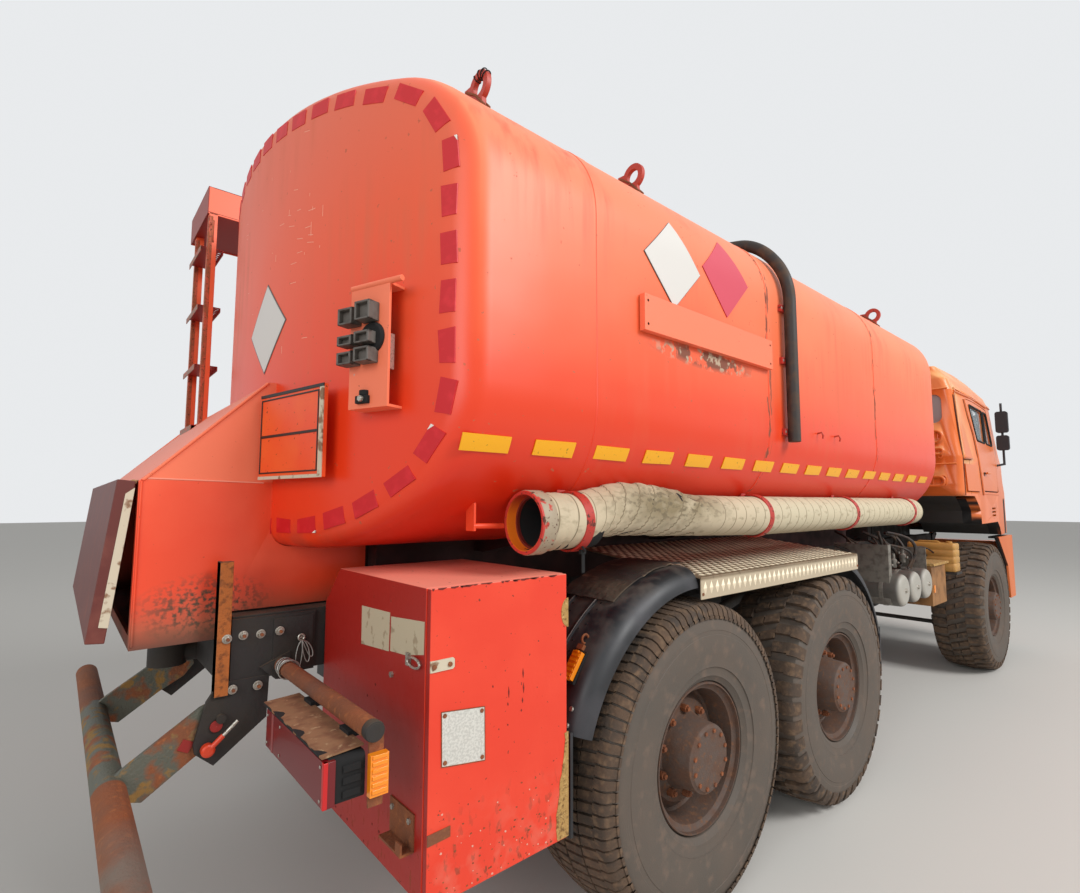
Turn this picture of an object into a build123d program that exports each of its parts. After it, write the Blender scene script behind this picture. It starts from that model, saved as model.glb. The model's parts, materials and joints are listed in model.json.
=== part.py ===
from build123d import *
import os
from math import asin, cos, degrees, radians, sin, sqrt

os.makedirs("parts", exist_ok=True)

# A 6x6 fuel tanker truck, in millimetres: X forward, Y left, Z up, ground at Z = 0.
# The origin is under the middle of its overall length and width.

# Driving dimensions: running gear
WHEEL_R, WHEEL_Z, TYRE_W, HALF_TRACK = 620, 620, 430, 1025
AXLE_X = {"front": 2825, "middle": -865, "rear": -2185}
RIM_R, BEAD_R, BEAD_Y, HUB_R = 287, 264, 158, 133
KINGPIN_Y, KNUCKLE_GAP = 750, 8
STEER_ARM = 230

# Driving dimensions: frame and rear end
RAIL_Y, RAIL_BOTTOM, RAIL_TOP, RAIL_WALL, RAIL_FLANGE = 430, 1050, 1260, 10, 80
RAIL_REAR, RAIL_FRONT = -3735, 3940
BAR_X, BAR_Z, BAR_R, BAR_HALF = -4036, 795, 42, 1120
BAR_PIVOT = (-3760, 945)
TOW_EYE = (-3855, 1080)

# Driving dimensions: tank
TANK_HALF, TANK_BOTTOM, TANK_TOP = 1250, 1480, 3180
TANK_REAR, TANK_FRONT, HEAD_RISE = -3335, 1065, 300
FLOOR_HALF, BILGE_R, BILGE_TURN = 500, 1100, 28
CROWN_R, CROWN_HALF, KNUCKLE_R = 3200, 975, 70

# Driving dimensions: cab
CAB_HALF, CAB_WALL, CAB_REAR, CAB_FRONT = 1250, 45, 1745, 4015
EAVES, ROOF_TOP = 2660, 2960
BACK_FLOOR, MAIN_FLOOR, NOSE_FLOOR = 1700, 1440, 1300
TUNNEL_HALF, TUNNEL_FRONT = 480, 3960
DOOR_GAP, PRESSING = 8, 12
TILT_PIN, TILT_R = (3975, 1255), 26

# Driving dimensions: rear boxes
BOX_X, BOX_Y, BOX_Z, BOX_WALL = (-3435, -2935), (-1215, -445), (600, 1410), 20
PUMP_X, PUMP_Y, PUMP_BOTTOM, PUMP_EAVES = (-4005, -3255), (-360, 1200), 1180, 1710
PUMP_WALL = 12

LEFT, RIGHT = 1, -1
SIDES = (RIGHT, LEFT)


def block(x, y, z, mode=Mode.ADD):
    """A box between pairs of limits."""
    with Locations((sum(x) / 2, sum(y) / 2, sum(z) / 2)):
        return Box(abs(x[1] - x[0]), abs(y[1] - y[0]), abs(z[1] - z[0]), mode=mode)


def rod(start, end, radius, mode=Mode.ADD):
    """A round bar between two points."""
    run = Vector(*end) - Vector(*start)
    with Locations(Plane(origin=Vector(*start) + run * 0.5, z_dir=run)):
        return Cylinder(radius, run.length, mode=mode)


def outline(plane, points, radius=0):
    """A flat face with straight sides, its corners rounded if a radius is given."""
    with BuildSketch(plane) as flat:
        with BuildLine():
            Polyline(*points, close=True)
        make_face()
        if radius:
            fillet(flat.vertices(), radius=radius)
    return flat.sketch


def side_plate(points, y, mode=Mode.ADD, radius=0):
    """A plate given by its side view (X, Z), between two values of Y."""
    face = outline(Plane.XZ.offset(-y[0]), points, radius)
    return extrude(face, amount=y[0] - y[1], mode=mode)


def side_y(side, low, high):
    """Limits in Y on one side of the truck."""
    return (side * low, side * high) if side > 0 else (side * high, side * low)


def save(part, name):
    part.label = name
    export_step(part, f"parts/{name}.step")


# Frame rails: channels that open inwards
with BuildPart() as frame_rails:
    for side in SIDES:
        block((RAIL_REAR, RAIL_FRONT), side_y(side, RAIL_Y - RAIL_FLANGE, RAIL_Y), (RAIL_BOTTOM, RAIL_TOP))
        block((RAIL_REAR, RAIL_FRONT), side_y(side, RAIL_Y - RAIL_FLANGE, RAIL_Y - RAIL_WALL),
              (RAIL_BOTTOM + RAIL_WALL, RAIL_TOP - RAIL_WALL), mode=Mode.SUBTRACT)
save(frame_rails.part, "frame_rails")

TILT_LUG = [(3850, 1250), (3850, 1180), (3950, 1195), (4003, 1235), (4003, 1275), (3975, 1288), (3930, 1272)]
CROSS_X = (-3715, -2700, -1525, -200, 1150, 3700)
with BuildPart() as crossmembers:
    for x in CROSS_X:
        block((x - 20, x + 20), (RAIL_WALL - RAIL_Y, RAIL_Y - RAIL_WALL),
              (RAIL_BOTTOM + RAIL_WALL, RAIL_TOP - RAIL_WALL))
    for side in SIDES:
        # Posts that hold up the back of the cab, and the lugs and pins it tilts on
        block((1850, 1930), side_y(side, 355, 425), (RAIL_TOP, BACK_FLOOR - 8))
        side_plate(TILT_LUG, side_y(side, RAIL_Y, RAIL_Y + 14))
        x, z = TILT_PIN
        rod((x, side * 376, z), (x, side * (RAIL_Y + 22), z), TILT_R - 12)
save(crossmembers.part, "crossmembers")

# Front bumper: a hollow bow, wings that carry the steps, and the recesses of its lamps
BUMPER_FRONT, BUMPER_Z, BUMPER_WALL, WING_Y = 4112, (600, 1195), 40, (1150, 1190)
WING = [(3300, 1275), (3965, 1275), (3965, 600), (3720, 600), (3700, 760), (3675, 950)]
with BuildPart() as front_bumper:
    for wall, cut in ((0, Mode.ADD), (BUMPER_WALL, Mode.SUBTRACT)):
        front = BUMPER_FRONT - wall
        half = WING_Y[1] - wall
        bow = [(3965 - wall, -half), (4005 - wall, 30 - half), (front, 130 - half), (front, half - 130),
               (4005 - wall, half - 30), (3965 - wall, half)]
        extrude(outline(Plane.XY.offset(BUMPER_Z[0] - wall), bow), amount=BUMPER_Z[1] - BUMPER_Z[0], mode=cut)
    block((4060, 4130), (-420, 420), (650, 730), mode=Mode.SUBTRACT)
    for side in SIDES:
        side_plate(WING, side_y(side, *WING_Y))
        block((3400, 3960), side_y(side, 1080, WING_Y[0] + 5), (1255, 1275))
        for z in (640, 900):
            block((3760, 3960), side_y(side, 1000, WING_Y[0] + 5), (z, z + 25))
        for y in (640, 1000):
            rod((4085, side * y, 910), (4130, side * y, 910), 85, mode=Mode.SUBTRACT)
        block((3880, 3940), side_y(side, 350, 420), (890, RAIL_BOTTOM))
        block((3935, BUMPER_FRONT - 30), side_y(side, 350, 420), (890, RAIL_BOTTOM - 10))
save(front_bumper.part, "front_bumper")


def differential(x, ahead=1):
    """The round case in the middle of an axle, with its nose towards the shaft."""
    with Locations(Plane(origin=(x, 0, WHEEL_Z), z_dir=(1, 0, 0))):
        Cylinder(185, 210)
    rod((x, 0, WHEEL_Z + 20), (x + ahead * 290, 0, WHEEL_Z + 60), 95)


AXLE_END = 872
with BuildPart() as rear_axles:
    for x in (AXLE_X["rear"], AXLE_X["middle"]):
        rod((x, -AXLE_END, WHEEL_Z), (x, AXLE_END, WHEEL_Z), 70)
        differential(x)
        for side in SIDES:
            rod((x, side * (AXLE_END - 30), WHEEL_Z), (x, side * AXLE_END, WHEEL_Z), 150)
            block((x - 70, x + 70), side_y(side, 440, 560), (WHEEL_Z, WHEEL_Z + 95))
save(rear_axles.part, "rear_axles")

BALL_R = 92
with BuildPart() as front_axle:
    rod((AXLE_X["front"], -KINGPIN_Y, WHEEL_Z), (AXLE_X["front"], KINGPIN_Y, WHEEL_Z), 62)
    differential(AXLE_X["front"], ahead=-1)
    for side in SIDES:
        with Locations((AXLE_X["front"], side * KINGPIN_Y, WHEEL_Z)):
            Sphere(BALL_R)
        x = AXLE_X["front"]
        block((x - 60, x + 60), side_y(side, 350, 430), (WHEEL_Z, WHEEL_Z + 82))
save(front_axle.part, "front_axle")

# Knuckles: a shell round each ball, a flange for the wheel and an arm for the tie rod
for side, name in ((RIGHT, "knuckle_right"), (LEFT, "knuckle_left")):
    x, y = AXLE_X["front"], side * KINGPIN_Y
    with BuildPart() as knuckle:
        with Locations((x, y, WHEEL_Z)):
            Sphere(BALL_R + KNUCKLE_GAP + 20)
            Sphere(BALL_R + KNUCKLE_GAP, mode=Mode.SUBTRACT)
        block((x - 200, x + 200), (y - side * 200, y - side * 12), (WHEEL_Z - 200, WHEEL_Z + 200),
              mode=Mode.SUBTRACT)
        rod((x, y + side * 104, WHEEL_Z), (x, y + side * 124, WHEEL_Z), 150)
        for z in (1, -1):
            rod((x, y + side * 30, WHEEL_Z + z * 108), (x, y + side * 30, WHEEL_Z + z * 150), 42)
        block((x - STEER_ARM, x + 30), (y - side * 15, y + side * 35), (WHEEL_Z - 160, WHEEL_Z - 125))
        rod((x - STEER_ARM, y + side * 10, WHEEL_Z - 160), (x - STEER_ARM, y + side * 10, WHEEL_Z - 125), 34)
    save(knuckle.part, name)

# Tie rod between the two arms, hung under their ends
TIE_Y, TIE_Z = KINGPIN_Y + 10, WHEEL_Z - 190
with BuildPart() as tie_rod:
    x = AXLE_X["front"] - STEER_ARM
    rod((x, -TIE_Y, TIE_Z), (x, TIE_Y, TIE_Z), 20)
    for side in SIDES:
        rod((x, side * TIE_Y, TIE_Z - 24), (x, side * TIE_Y, TIE_Z + 24), 32)
save(tie_rod.part, "tie_rod")


def leaf_pack(x, y, z, span, leaves, rise, width=90, leaf=14):
    """A stack of leaves, the longest first, whose ends lie rise from the middle."""
    for i in range(leaves):
        half = span / 2 * (1 - 0.8 * i / leaves)
        step = -leaf * i if rise > 0 else leaf * i
        drop = rise * (half / (span / 2)) ** 2
        with BuildSketch(Plane.XZ.offset(-y - width / 2)) as strip:
            with BuildLine():
                top = ThreePointArc((x - half, z + step + drop), (x, z + step), (x + half, z + step + drop))
                end = Line(top @ 1, (x + half, z + step + drop - leaf))
                low = ThreePointArc(end @ 1, (x, z + step - leaf), (x - half, z + step + drop - leaf))
                Line(low @ 1, top @ 0)
            make_face()
        extrude(strip.sketch, amount=width)


BOGIE_X = (AXLE_X["rear"] + AXLE_X["middle"]) / 2
with BuildPart() as suspension:
    for side in SIDES:
        # Front springs between hangers, and rear springs over the middle of the bogie
        leaf_pack(AXLE_X["front"], side * 395, 800, 1500, 7, 150)
        for x in (AXLE_X["front"] - 740, AXLE_X["front"] + 740):
            block((x - 30, x + 30), side_y(side, 350, 440), (910, RAIL_BOTTOM))
        leaf_pack(BOGIE_X, side * 500, 870, 1360, 9, -130)
        block((BOGIE_X - 90, BOGIE_X + 90), side_y(side, 440, 560), (740, 860))
        side_plate([(BOGIE_X - 220, RAIL_TOP - 60), (BOGIE_X + 220, RAIL_TOP - 60), (BOGIE_X + 110, 700),
                    (BOGIE_X - 110, 700)], side_y(side, RAIL_Y, 450))
        for x in (AXLE_X["rear"], AXLE_X["middle"]):
            lean = 1 if x < BOGIE_X else -1
            rod((x + lean * 60, side * 330, 800), (x + lean * 480, side * 330, 830), 24)
    rod((BOGIE_X, -560, 790), (BOGIE_X, 560, 790), 55)
save(suspension.part, "suspension")

# Engine, gearbox and transfer case as plain blocks, and the shafts between them
with BuildPart() as powertrain:
    block((2320, 3520), (-300, 300), (840, 1390))
    block((1400, 2330), (-190, 190), (860, 1240))
    block((260, 780), (-260, 240), (700, 1180))
    rod((780, 0, 960), (1400, 0, 980), 45)
    rod((-565, 0, 684), (260, 0, 880), 45)
    rod((-1885, 0, 684), (-1060, 0, 640), 40)
    rod((780, 0, 790), (2525, 0, 688), 40)
save(powertrain.part, "powertrain")


def wheel_side(side, part, x):
    """The right-hand wheel, turned for its side and moved to its axle."""
    turn = 0 if side == RIGHT else 180
    return part.moved(Location((x, side * HALF_TRACK, WHEEL_Z), (0, 0, turn)))


# Tyre, about the Y axis, with its outer side at -Y
with BuildPart() as tyre:
    with BuildSketch(Plane.YZ):
        with BuildLine():
            bead = Line((150, BEAD_R), (-150, BEAD_R))
            lip = Polyline(bead @ 1, (2 - BEAD_Y, RIM_R + 2), (-170, RIM_R + 4))
            outer = ThreePointArc(lip @ 1, (-215, 440), (-203, 550))
            shoulder = Line(outer @ 1, (-185, 600))
            crown = ThreePointArc(shoulder @ 1, (0, WHEEL_R), (185, 600))
            back = Line(crown @ 1, (203, 550))
            inner = ThreePointArc(back @ 1, (215, 440), (170, RIM_R + 4))
            Polyline(inner @ 1, (BEAD_Y - 2, RIM_R + 2), bead @ 0)
        make_face()
    revolve(axis=Axis.Y)

# Steel wheel: rim, dished disc with hand holes, drum and hub
HAND_HOLES, WHEEL_NUTS = 10, 10
with BuildPart() as wheel_disc:
    with BuildSketch(Plane.YZ):
        with BuildLine():
            Polyline((-171, RIM_R), (-BEAD_Y, RIM_R), (-150, BEAD_R - 1), (150, BEAD_R - 1), (BEAD_Y, RIM_R),
                     (171, RIM_R), (168, 250), (-20, 250), (-20, 225), (-60, 195), (130, 195), (130, 60),
                     (140, 60), (140, 0), (-211, 0), (-211, HUB_R - 12), (-200, HUB_R), (-110, HUB_R + 6),
                     (-75, 175), (-75, 205), (-40, 236), (-40, 250), (-168, 250), close=True)
        make_face()
    revolve(axis=Axis.Y)
    with Locations(Plane(origin=(0, -50, 0), z_dir=(0, -1, 0))):
        with PolarLocations(218, HAND_HOLES):
            Cylinder(17, 120, mode=Mode.SUBTRACT)
    with Locations(Plane(origin=(0, -84, 0), z_dir=(0, -1, 0))):
        with PolarLocations(162, WHEEL_NUTS):
            Cylinder(15, 40)
WHEELS = [(axle, side) for axle in AXLE_X for side in SIDES]
for axle, side in WHEELS:
    tag = f"{axle}_{'right' if side == RIGHT else 'left'}"
    save(wheel_side(side, tyre.part, AXLE_X[axle]), f"tyre_{tag}")
    save(wheel_side(side, wheel_disc.part, AXLE_X[axle]), f"wheel_{tag}")


# Tank: a rounded section of tangent arcs, with heads bent about a vertical axis
def tank_solid():
    """The closed tank, with a knuckle radius round both heads."""
    crown_turn = degrees(asin(CROWN_HALF / CROWN_R))
    corner_r = (TANK_HALF - CROWN_HALF) / (1 - sin(radians(crown_turn)))
    side_top = TANK_TOP - CROWN_R * (1 - cos(radians(crown_turn))) - corner_r * cos(radians(crown_turn))
    bilge_y = FLOOR_HALF + BILGE_R * sin(radians(BILGE_TURN))
    lower_r = (TANK_HALF - bilge_y) / (1 - sin(radians(BILGE_TURN)))
    head_r = (TANK_HALF ** 2 + HEAD_RISE ** 2) / (2 * HEAD_RISE)
    with BuildPart() as tank:
        with BuildSketch(Plane.YZ.offset(TANK_REAR - 500)):
            with BuildLine():
                floor = Line((0, TANK_BOTTOM), (FLOOR_HALF, TANK_BOTTOM))
                bilge = JernArc(floor @ 1, floor % 1, BILGE_R, BILGE_TURN)
                lower = JernArc(bilge @ 1, bilge % 1, lower_r, 90 - BILGE_TURN)
                wall = Line(lower @ 1, (TANK_HALF, side_top))
                corner = JernArc(wall @ 1, wall % 1, corner_r, 90 - crown_turn)
                JernArc(corner @ 1, corner % 1, CROWN_R, crown_turn)
                mirror(about=Plane.YZ)
            make_face()
        extrude(amount=TANK_FRONT - TANK_REAR + 1000)
        with BuildSketch(Plane.XY.offset(TANK_BOTTOM - 100)):
            with BuildLine():
                half = TANK_HALF + 150
                back = head_r - sqrt(head_r ** 2 - half ** 2) - HEAD_RISE
                rear = ThreePointArc((TANK_REAR + back, -half), (TANK_REAR - HEAD_RISE, 0), (TANK_REAR + back, half))
                left = Line(rear @ 1, (TANK_FRONT - back, half))
                front = ThreePointArc(left @ 1, (TANK_FRONT + HEAD_RISE, 0), (TANK_FRONT - back, -half))
                Line(front @ 1, rear @ 0)
            make_face()
        extrude(amount=TANK_TOP - TANK_BOTTOM + 200, mode=Mode.INTERSECT)
        fillet(tank.edges().filter_by(Axis.X, reverse=True), radius=KNUCKLE_R)
    return tank.part


tank_shell = tank_solid()
save(tank_shell, "tank_shell")

# Saddles: two long members on the rails and cross webs shaped to the tank
with BuildPart() as tank_saddles:
    for side in SIDES:
        block((-3240, 1300), side_y(side, 350, 430), (RAIL_TOP, TANK_BOTTOM + 40))
    for x in (-2750, -1525, -250, 950):
        with BuildSketch(Plane.YZ.offset(x - 30)) as web:
            with BuildLine():
                Polyline((-900, 1640), (-880, 1500), (-500, 1425), (500, 1425), (880, 1500), (900, 1640), close=True)
            make_face()
        extrude(web.sketch, amount=60)
    add(tank_shell, mode=Mode.SUBTRACT)
save(tank_saddles.part, "tank_saddles")

# Fittings on the tank: four lifting eyes, name board, bracket on the rear head
EYE_X, EYE_Y, EYE_Z, EYE_R = (-3155, -2325, 545), 1000, 3075, 35
with BuildPart() as tank_fittings:
    for side in SIDES:
        for x in EYE_X:
            with BuildSketch(Plane.XZ.offset(-side * EYE_Y - 10)) as eye:
                with Locations((x, EYE_Z)):
                    Circle(70)
                with Locations((x, EYE_Z - 75)):
                    Rectangle(170, 150)
                with Locations((x, EYE_Z)):
                    Circle(EYE_R, mode=Mode.SUBTRACT)
            extrude(eye.sketch, amount=20)
    block((-2600, -1640), (-1275, -1150), (2280, 2420))
    add(tank_shell, mode=Mode.SUBTRACT)
    # Bracket of folded sheet, set square to the bent head, with a rolled top edge
    along = Vector(0.345, -0.938, 0)
    out, foot = Vector(-0.938, -0.345, 0), Vector(-3466, -950, 0)
    with BuildSketch(Plane(origin=foot - along * 80, x_dir=out, z_dir=-along)) as fold:
        with BuildLine():
            Polyline((-20, 2003), (60, 2003), (60, 2295), (-20, 2295), (-20, 2287), (52, 2287), (52, 2011),
                     (-20, 2011), close=True)
        make_face()
    extrude(fold.sketch, amount=-160)
    lip = foot + out * 56 + Vector(0, 0, 2297)
    rod(lip - along * 80, lip + along * 125, 9)
    add(tank_shell, mode=Mode.SUBTRACT)
save(tank_fittings.part, "tank_fittings")

# Manhole: a collar on the crown and a hinged lid
MANHOLE_X, COLLAR_TOP = -1100, 3300
with BuildPart() as manhole_collar:
    rod((MANHOLE_X, 0, 3150), (MANHOLE_X, 0, COLLAR_TOP), 300)
    rod((MANHOLE_X, 0, 3150), (MANHOLE_X, 0, COLLAR_TOP + 1), 270, mode=Mode.SUBTRACT)
    add(tank_shell, mode=Mode.SUBTRACT)
    for y in (-50, 50):
        block((MANHOLE_X - 360, MANHOLE_X - 290), (y - 8, y + 8), (3240, 3290))
        block((MANHOLE_X - 360, MANHOLE_X - 325), (y - 8, y + 8), (3240, 3330))
save(manhole_collar.part, "manhole_collar")
with BuildPart() as manhole_lid:
    rod((MANHOLE_X, 0, COLLAR_TOP + 6), (MANHOLE_X, 0, COLLAR_TOP + 20), 315)
    block((MANHOLE_X - 358, MANHOLE_X - 280), (-34, 34), (COLLAR_TOP + 6, COLLAR_TOP + 20))
save(manhole_lid.part, "manhole_lid")

# Breather hose: rigidly clipped round the right shoulder of the tank
HOSE_X, HOSE_R = -1465, 30
HOSE_ROUTE = [(-1330, -640, 3176), (HOSE_X, -1122, 3019), (HOSE_X, -1286, 2791), (HOSE_X, -1286, 1940)]
with BuildPart() as breather_hose:
    with BuildLine() as hose_path:
        FilletPolyline(*HOSE_ROUTE, radius=400)
    with BuildSketch(Plane(origin=hose_path.line @ 0, z_dir=hose_path.line % 0)):
        Circle(HOSE_R)
    sweep(path=hose_path.line)
save(breather_hose.part, "breather_hose")

# Storage tube along the right side, open at both ends, on four clamps
STORE_X, STORE_Y, STORE_Z, STORE_R = (-3065, 565), -1165, 1577, 95
CLAMP_X = (-2880, -1676, -640, 395)
with BuildPart() as storage_tube:
    rod((STORE_X[0], STORE_Y, STORE_Z), (STORE_X[1], STORE_Y, STORE_Z), STORE_R)
    rod((STORE_X[0] - 1, STORE_Y, STORE_Z), (STORE_X[1] + 1, STORE_Y, STORE_Z), STORE_R - 9, mode=Mode.SUBTRACT)
save(storage_tube.part, "storage_tube")
with BuildPart() as tube_clamps:
    for x in CLAMP_X:
        rod((x - 20, STORE_Y, STORE_Z), (x + 20, STORE_Y, STORE_Z), STORE_R + 8)
        rod((x - 25, STORE_Y, STORE_Z), (x + 25, STORE_Y, STORE_Z), STORE_R, mode=Mode.SUBTRACT)
        block((x - 20, x + 20), (-1120, -880), (STORE_Z + 60, STORE_Z + 130))
        rod((x - 25, STORE_Y, STORE_Z), (x + 25, STORE_Y, STORE_Z), STORE_R, mode=Mode.SUBTRACT)
    add(tank_shell, mode=Mode.SUBTRACT)
save(tube_clamps.part, "tube_clamps")

# Blank plate in its frame, off the rear head
with BuildPart() as rear_plate:
    with Locations(Location((-3616, -580, 1870), (0, 0, 12))):
        Box(16, 400, 300)
        with Locations((28, 0, 0)):
            Box(44, 40, 240)
    add(tank_shell, mode=Mode.SUBTRACT)
save(rear_plate.part, "rear_plate")


def pump_outline(inset):
    """Side view of the box, drawn in by the sheet thickness."""
    low, high = PUMP_X[0] + inset, PUMP_X[1] - inset
    slope = 370
    return [(low, PUMP_BOTTOM + inset), (-3745 - inset, PUMP_BOTTOM + inset), (-3745 - inset, 1268 + inset),
            (high, 1268 + inset), (high, PUMP_EAVES + slope - inset), (low + slope, PUMP_EAVES + slope - inset),
            (low, PUMP_EAVES - inset)]


# Ladder and platform at the rear left
LADDER_X, LADDER_Y, STEP_Z = -3655, (800, 1170), (2030, 2350, 2670, 2990)
with BuildPart() as ladder:
    for y in LADDER_Y:
        block((LADDER_X - 20, LADDER_X + 20), (y - 20, y + 20), (1990, 3200))
    for z in STEP_Z:
        block((LADDER_X - 40, LADDER_X + 60), LADDER_Y, (z - 15, z + 15))
    block((LADDER_X - 25, -3060), (780, 1280), (3180, 3200))
    for y in ((780, 790), (1270, 1280)):
        block((LADDER_X - 25, -3060), y, (3180, 3320))
    for x in ((LADDER_X - 25, LADDER_X - 15), (-3070, -3060)):
        block(x, (780, 1280), (3180, 3320))
    for x in (-3300, -3100):
        block((x - 20, x + 20), (1060, 1090), (2900, 3190))
    add(tank_shell, mode=Mode.SUBTRACT)
    side_plate(pump_outline(0), PUMP_Y, mode=Mode.SUBTRACT)
save(ladder.part, "ladder")


# Pump compartment: a sheet box with a sloped top against the rear head
with BuildPart() as pump_compartment:
    side_plate(pump_outline(0), PUMP_Y)
    side_plate(pump_outline(PUMP_WALL), (PUMP_Y[0] + PUMP_WALL, PUMP_Y[1] - PUMP_WALL), mode=Mode.SUBTRACT)
    block((PUMP_X[0] - 20, PUMP_X[0] + 40), (PUMP_Y[0] + 40, PUMP_Y[1] - 40), (PUMP_BOTTOM + 40, PUMP_EAVES - 50),
          mode=Mode.SUBTRACT)
    add(tank_shell, mode=Mode.SUBTRACT)
save(pump_compartment.part, "pump_compartment")

# Its rear door hangs from the top edge, a little ajar: a framed pan about its pin
DOOR_PIN, DOOR_LEAN, PAN_DEPTH, PAN_RIM = (PUMP_X[0] - 22, 1700), 6, 48, 45
with BuildPart() as compartment_door:
    forward = (cos(radians(DOOR_LEAN)), 0, -sin(radians(DOOR_LEAN)))
    pan_width = PUMP_Y[1] - PUMP_Y[0] - 10
    with Locations(Plane(origin=(DOOR_PIN[0], 0, DOOR_PIN[1]), x_dir=(0, 1, 0), z_dir=forward)):
        with Locations((sum(PUMP_Y) / 2, -240, -10)):
            Box(pan_width, 500, PAN_DEPTH)
        with Locations((sum(PUMP_Y) / 2, -240, 4)):
            Box(pan_width - 2 * PAN_RIM, 500 - 2 * PAN_RIM, PAN_DEPTH, mode=Mode.SUBTRACT)
save(compartment_door.part, "compartment_door")

with BuildPart() as pump_unit:
    block((-3640, -3380), (100, 420), (1284, 1420))
    rod((-3800, 700, 1400), (-3400, 700, 1400), 60)
    rod((-3800, 700, 1400), (-3770, 700, 1400), 90)
    rod((-3500, 260, 1350), (-3500, 700, 1350), 50)
save(pump_unit.part, "pump_unit")

# Tool box behind the right rear wheel: walls in one piece, its side is a door
with BuildPart() as tool_box:
    block(BOX_X, (BOX_Y[0] + 26, BOX_Y[1]), BOX_Z)
    chamfer(tool_box.edges().filter_by(Axis.X).group_by(Axis.Y)[-1].sort_by(Axis.Z)[-1], length=130)
    with BuildSketch(Plane.YZ.offset(BOX_X[0] + BOX_WALL)) as hollow:
        with BuildLine():
            Polyline((BOX_Y[0], BOX_Z[0] + BOX_WALL), (BOX_Y[1] - BOX_WALL, BOX_Z[0] + BOX_WALL),
                     (BOX_Y[1] - BOX_WALL, BOX_Z[1] - 140), (BOX_Y[1] - 140, BOX_Z[1] - BOX_WALL),
                     (BOX_Y[0], BOX_Z[1] - BOX_WALL), close=True)
        make_face()
    extrude(hollow.sketch, amount=BOX_X[1] - BOX_X[0] - 2 * BOX_WALL, mode=Mode.SUBTRACT)
    block((BOX_X[0] + 60, BOX_X[1] - 60), (BOX_Y[1] - 5, -RAIL_Y), (1080, 1200))
save(tool_box.part, "tool_box")
with BuildPart() as tool_box_door:
    block((BOX_X[0], BOX_X[1] - 8), (BOX_Y[0], BOX_Y[0] + 20), BOX_Z)
save(tool_box_door.part, "tool_box_door")

# Mudguards: a moulded part ring behind each rear wheel and ahead of each middle wheel, with a wide rounded lip
GUARD_R, GUARD_LIP_R, GUARD_Y, GUARD_WALL = 752, 668, (790, 1198), 9
# Each ring: axle, towards the rear or the front, and the angles from the top where it starts and ends
GUARDS = [("rear", 1, 0, 70), ("middle", -1, 20, 74)]
with BuildPart() as mudguards:
    for side in SIDES:
        for axle, way, start, end in GUARDS:
            centre = (AXLE_X[axle], 0, WHEEL_Z)
            low, high = GUARD_Y
            lip_r = GUARD_R - GUARD_LIP_R
            corner = high - lip_r
            ahead = (side * cos(radians(start)), 0, side * way * sin(radians(start)))
            with BuildSketch(Plane(origin=centre, x_dir=(0, side, 0), z_dir=ahead)) as guard:
                with BuildLine():
                    top = Line((low, GUARD_R), (corner, GUARD_R))
                    lip = RadiusArc(top @ 1, (high, GUARD_LIP_R), lip_r)
                    edge = Line(lip @ 1, (high - GUARD_WALL, GUARD_LIP_R))
                    under = RadiusArc(edge @ 1, (corner, GUARD_R - GUARD_WALL), GUARD_WALL - lip_r)
                    Polyline(under @ 1, (low, GUARD_R - GUARD_WALL), top @ 0)
                make_face()
                with Locations((low + 90, GUARD_R), (low + 210, GUARD_R)):
                    Rectangle(12, 14)
            revolve(guard.sketch, axis=Axis(centre, (0, -way, 0)), revolution_arc=end - start)
            tip = AXLE_X[axle] - way * (GUARD_R - 4) * sin(radians(end))
            flap_top = WHEEL_Z + GUARD_R * cos(radians(end)) + 10
            block((tip - 6, tip + 6), side_y(side, low + 10, high - 20), (560, flap_top))
save(mudguards.part, "mudguards")

# Checker plate decks over the bogie
with BuildPart() as deck_plates:
    for side in SIDES:
        with BuildSketch(Plane.YZ.offset(-2185)) as deck:
            with BuildLine():
                Polyline((side * 500, 1412), (side * 1212, 1332), (side * 1212, 1240), (side * 1205, 1240),
                         (side * 1205, 1325), (side * 500, 1405), close=True)
            make_face()
        extrude(deck.sketch, amount=1640)
save(deck_plates.part, "deck_plates")

# Rear hitch end: plates on the rails that carry the bar, hitch beam, tow eye, post and lamp tubes
HANGER = [(-3770, 1055), (-3618, 1055), (-3622, 917), (-3774, 801), (-3827, 849), (-3832, 878), (-3802, 1002),
          (-3788, 1024)]
GUSSET = [(-3650, 1085), (-3556, 1124), (-3545, 1030), (-3600, 1037)]
LAMP_TUBE = (-3585, 1085, 24, 1225)
with BuildPart() as rear_brackets:
    for side in SIDES:
        side_plate(HANGER, side_y(side, RAIL_Y, RAIL_Y + 16))
        block((-3738, -3470), side_y(side, RAIL_Y, RAIL_Y + 12), (1048, 1252))
        block((-3610, -3479), side_y(side, RAIL_Y + 12, RAIL_Y + 18), (1060, 1240))
        side_plate(GUSSET, side_y(side, RAIL_Y + 10, RAIL_Y + 24))
        rod((BAR_PIVOT[0], side * 396, BAR_PIVOT[1]), (BAR_PIVOT[0], side * 462, BAR_PIVOT[1]), 14)
        x, z, radius, reach = LAMP_TUBE
        rod((x, side * (RAIL_Y + 16), z), (x, side * reach, z), radius)
    # Post of angle section at the right
    block((-3784, -3776), (-460, -415), (1015, 1446))
    block((-3784, -3745), (-460, -452), (1015, 1446))
    block((-3765, -3735), (-430, 430), (RAIL_BOTTOM, 1170))
    rod((TOW_EYE[0], 0, TOW_EYE[1]), (-3760, 0, TOW_EYE[1]), 38)
    rod((TOW_EYE[0], 0, TOW_EYE[1] - 40), (TOW_EYE[0], 0, TOW_EYE[1] + 40), 62)
    rod((TOW_EYE[0], 0, TOW_EYE[1] - 50), (TOW_EYE[0], 0, TOW_EYE[1] + 50), 36, mode=Mode.SUBTRACT)
save(rear_brackets.part, "rear_brackets")

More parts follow.
